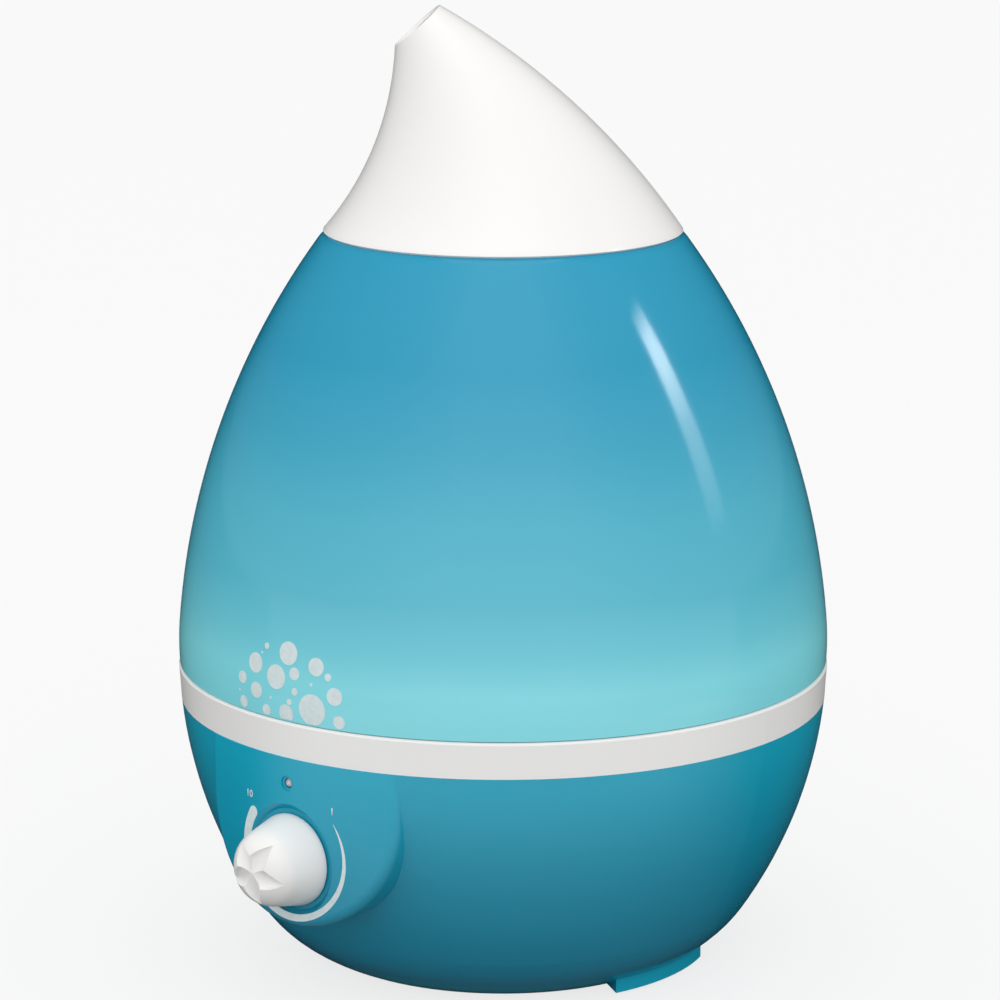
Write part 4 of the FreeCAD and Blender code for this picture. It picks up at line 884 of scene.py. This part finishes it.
class SetStage(bpy.types.Operator):
    """Pale floor, soft light and the camera"""
    bl_idname = "humidifier.stage"
    bl_label = "Stage"

    view_centre = Vector((0, 0, 0.1509))
    view_shift = -0.00315
    floor_size = 40.0
    floor_drop = 0.2 * MM
    near_reach = 0.22
    # floor's colour in gloss: painted shade on the far side of the object, pale on the camera's side
    far_gloss, near_gloss = 0.02, 0.95
    floor_seen = 0.7
    floor_lift = 0.78
    lamp_aside = math.radians(4)
    lamp_rise = math.radians(35)
    lamp_distance = 1.9
    lamp_width, lamp_height = 1.5, 1.1
    lamp_aim = Vector((0, 0, 0.17))
    card_foot = 0.002
    strip_turn = math.radians(119.5)
    strip_spread = math.radians(8)
    strip_distance = 0.48
    strip_low, strip_high = 0.21, 0.58

    def execute(self, context):
        look = settings().stage
        scene = context.scene
        scene.view_settings.view_transform = "Standard"
        self.camera(look, scene)
        self.floor(look)
        self.world(look, scene)
        self.dark_card(look)
        self.soft_lamp(look)
        self.strip_light(look)
        return {"FINISHED"}

    @staticmethod
    def toward(turn, rise):
        """Direction from the object to a place round it, from the front towards +X, and above level."""
        return on_round(math.cos(rise), turn, math.sin(rise))

    def camera(self, look, scene):
        back = self.toward(look.turn, look.rise)
        data = bpy.data.cameras.new("camera")
        data.lens = look.lens
        data.shift_x = self.view_shift
        camera = bpy.data.objects.new("camera", data)
        scene.collection.objects.link(camera)
        camera.location = self.view_centre + back * look.distance
        camera.rotation_euler = (-back).to_track_quat("-Z", "Y").to_euler()
        data.clip_start, data.clip_end = 0.05, 50
        scene.camera = camera

    def floor(self, look):
        """Pale floor, lifted towards white where it is looked at; in gloss, painted shade makes it dark
        behind the object.
        """
        let_go()
        bpy.ops.mesh.primitive_plane_add(size=self.floor_size, location=(0, 0, -self.floor_drop))
        obj = bpy.context.object
        obj.name = "floor"
        surface = Finish("floor_pale", (0.8, 0.8, 0.8), Roughness=0.9)
        surface.shader.inputs["Specular IOR Level"].default_value = 0.0
        tree = surface.tree
        rays = surface.add("ShaderNodeLightPath")
        seen = self.maths(tree, "MAXIMUM", rays.outputs["Is Camera Ray"], rays.outputs["Is Transmission Ray"])
        toward = surface.add("ShaderNodeVectorMath", **{"Vector": surface.coordinates.outputs["Object"]})
        toward.operation = "DOT_PRODUCT"
        toward.inputs[1].default_value = self.toward(look.turn, 0)
        # painted shade: seen in gloss, the floor fades from pale on the camera's side to dark behind the
        # object
        near = surface.add("ShaderNodeMapRange", Value=toward.outputs["Value"],
                           **{"From Min": 0.0, "From Max": self.near_reach,
                              "To Min": self.far_gloss, "To Max": self.near_gloss})
        near.interpolation_type = "SMOOTHSTEP"
        plain = surface.grey_range(seen, look.floor_bounce, self.floor_seen)
        tone = tree.nodes.new("ShaderNodeMix")
        tree.links.new(rays.outputs["Is Glossy Ray"], tone.inputs[0])
        tree.links.new(plain, tone.inputs[surface.mix_number_a])
        tree.links.new(near.outputs["Result"], tone.inputs[surface.mix_number_b])
        surface.base(tone.outputs[0])
        glow = surface.add("ShaderNodeEmission", Color=(1, 1, 1, 1), Strength=1.0)
        mix = surface.add("ShaderNodeMixShader", Fac=self.maths(tree, "MULTIPLY", seen, self.floor_lift))
        tree.links.new(surface.shader.outputs[0], mix.inputs[1])
        tree.links.new(glow.outputs[0], mix.inputs[2])
        tree.links.new(mix.outputs[0], tree.nodes["Material Output"].inputs["Surface"])
        dress(obj, surface.material)

    @staticmethod
    def maths(tree, operation, first, second):
        """Math node on two inputs, each a value or another node's socket."""
        node = tree.nodes.new("ShaderNodeMath")
        node.operation = operation
        for socket, value in zip(node.inputs, (first, second)):
            if isinstance(value, bpy.types.NodeSocket):
                tree.links.new(value, socket)
            else:
                socket.default_value = value
        return node.outputs[0]

    def world(self, look, scene):
        """White where it is seen, straight, in gloss or through the tank; even light for the rest."""
        world = bpy.data.worlds.new("studio")
        scene.world = world
        world.use_nodes = True
        tree = world.node_tree
        tree.nodes.clear()
        rays = tree.nodes.new("ShaderNodeLightPath")
        even = tree.nodes.new("ShaderNodeBackground")
        even.inputs["Color"].default_value = (1, 1, 1, 1)
        even.inputs["Strength"].default_value = look.fill
        seen = tree.nodes.new("ShaderNodeBackground")
        seen.inputs["Color"].default_value = (1, 1, 1, 1)
        seen.inputs["Strength"].default_value = 1.0
        direct = self.maths(tree, "MAXIMUM", rays.outputs["Is Camera Ray"], rays.outputs["Is Glossy Ray"])
        direct = self.maths(tree, "MAXIMUM", direct, rays.outputs["Is Transmission Ray"])
        mix = tree.nodes.new("ShaderNodeMixShader")
        out = tree.nodes.new("ShaderNodeOutputWorld")
        tree.links.new(direct, mix.inputs[0])
        tree.links.new(even.outputs[0], mix.inputs[1])
        tree.links.new(seen.outputs[0], mix.inputs[2])
        tree.links.new(mix.outputs[0], out.inputs["Surface"])

    def card(self, name, across, up, spread, turn, distance, low, high):
        """Upright card bent round the object, seen in its gloss only."""
        let_go()
        bpy.ops.mesh.primitive_grid_add(x_subdivisions=across, y_subdivisions=up, size=1, location=(0, 0, 0))
        obj = bpy.context.object
        obj.name = name
        for vertex in obj.data.vertices:
            angle = turn + vertex.co.x * spread
            vertex.co = on_round(distance, angle, low + (vertex.co.y + 0.5) * (high - low))
        obj.visible_camera = obj.visible_diffuse = obj.visible_transmission = obj.visible_shadow = False
        return obj

    @staticmethod
    def grey_ramp(surface, factor, *stops):
        return surface.ramp(factor, [(position, (value,) * 3) for position, value in stops])

    @staticmethod
    def see_through(surface, shader, share):
        """Show a shader only in part, by a share that changes over the card."""
        clear = surface.add("ShaderNodeBsdfTransparent")
        mix = surface.add("ShaderNodeMixShader", Fac=share)
        surface.tree.links.new(clear.outputs[0], mix.inputs[1])
        surface.tree.links.new(shader, mix.inputs[2])
        surface.tree.links.new(mix.outputs[0], surface.tree.nodes["Material Output"].inputs["Surface"])

    def dark_card(self, look):
        """Dark surroundings that deepen from the camera's side to the far side."""
        obj = self.card("dark_card", 120, 1, look.card_spread, look.turn + math.pi, look.card_distance,
                        self.card_foot, look.card_height)
        surface = Finish("card_black", (0.0, 0.0, 0.0), Roughness=0.9)
        surface.shader.inputs["Specular IOR Level"].default_value = 0.0
        axes = surface.add("ShaderNodeSeparateXYZ", Vector=surface.coordinates.outputs["UV"])
        share = self.grey_ramp(surface, axes.outputs["X"], (0.0, 0.0), (0.1, 0.4), (0.24, 0.76), (0.4, 1.0),
                               (0.6, 1.0), (0.76, 0.76), (0.9, 0.4), (1.0, 0.0))
        self.see_through(surface, surface.shader.outputs[0], share)
        dress(obj, surface.material)

    def strip_light(self, look):
        """Tall narrow light at the side that fades towards its foot and its top."""
        obj = self.card("strip_light", 4, 12, self.strip_spread, self.strip_turn, self.strip_distance,
                        self.strip_low, self.strip_high)
        surface = Finish("strip_glow", (0.0, 0.0, 0.0))
        axes = surface.add("ShaderNodeSeparateXYZ", Vector=surface.coordinates.outputs["UV"])
        share = self.grey_ramp(surface, axes.outputs["Y"], (0.0, 0.0), (0.4, 0.3), (0.68, 0.9), (0.82, 0.85),
                               (1.0, 0.0))
        glow = surface.add("ShaderNodeEmission", Color=(1, 1, 1, 1), Strength=look.strip)
        self.see_through(surface, glow.outputs[0], share)
        dress(obj, surface.material)

    def soft_lamp(self, look):
        """Large soft lamp beside the camera, aimed at the object's middle and left out of the gloss."""
        data = bpy.data.lights.new("soft_front", "AREA")
        data.shape = "RECTANGLE"
        data.size = self.lamp_width
        data.size_y = self.lamp_height
        data.energy = look.front
        obj = bpy.data.objects.new("soft_front", data)
        bpy.context.scene.collection.objects.link(obj)
        back = self.toward(look.turn + self.lamp_aside, self.lamp_rise)
        obj.location = self.lamp_aim + self.lamp_distance * back
        obj.rotation_euler = (-back).to_track_quat("-Z", "Y").to_euler()
        obj.visible_glossy = False


class HumidifierPanel(bpy.types.Panel):
    """The pieces and the stage, in the order they are made"""
    bl_idname = "VIEW3D_PT_humidifier"
    bl_label = "Humidifier"
    bl_space_type = "VIEW_3D"
    bl_region_type = "UI"
    bl_category = "Humidifier"

    def draw(self, context):
        for name in SETTINGS:
            group = getattr(settings(), name)
            box = self.layout.box()
            box.label(text=name.title())
            for key in group.bl_rna.properties.keys():
                if key not in ("rna_type", "name"):
                    box.prop(group, key)
        for operator in OPERATORS:
            self.layout.operator(operator.bl_idname)


OPERATORS = (MakeFinishes, MakeTank, MakeNozzle, MakeKnob, MakeDots, MakeDialPrint, DressFittings,
             SetStage)
CLASSES = tuple(SETTINGS.values()) + (HumidifierSettings,) + OPERATORS + (HumidifierPanel,)


def register():
    for cls in CLASSES:
        bpy.utils.register_class(cls)
    bpy.types.Scene.humidifier = PointerProperty(type=HumidifierSettings)


def unregister():
    del bpy.types.Scene.humidifier
    for cls in reversed(CLASSES):
        bpy.utils.unregister_class(cls)


def main():
    register()
    for cls in OPERATORS:
        group, action = cls.bl_idname.split(".")
        getattr(getattr(bpy.ops, group), action)()


if __name__ == "__main__":
    main()
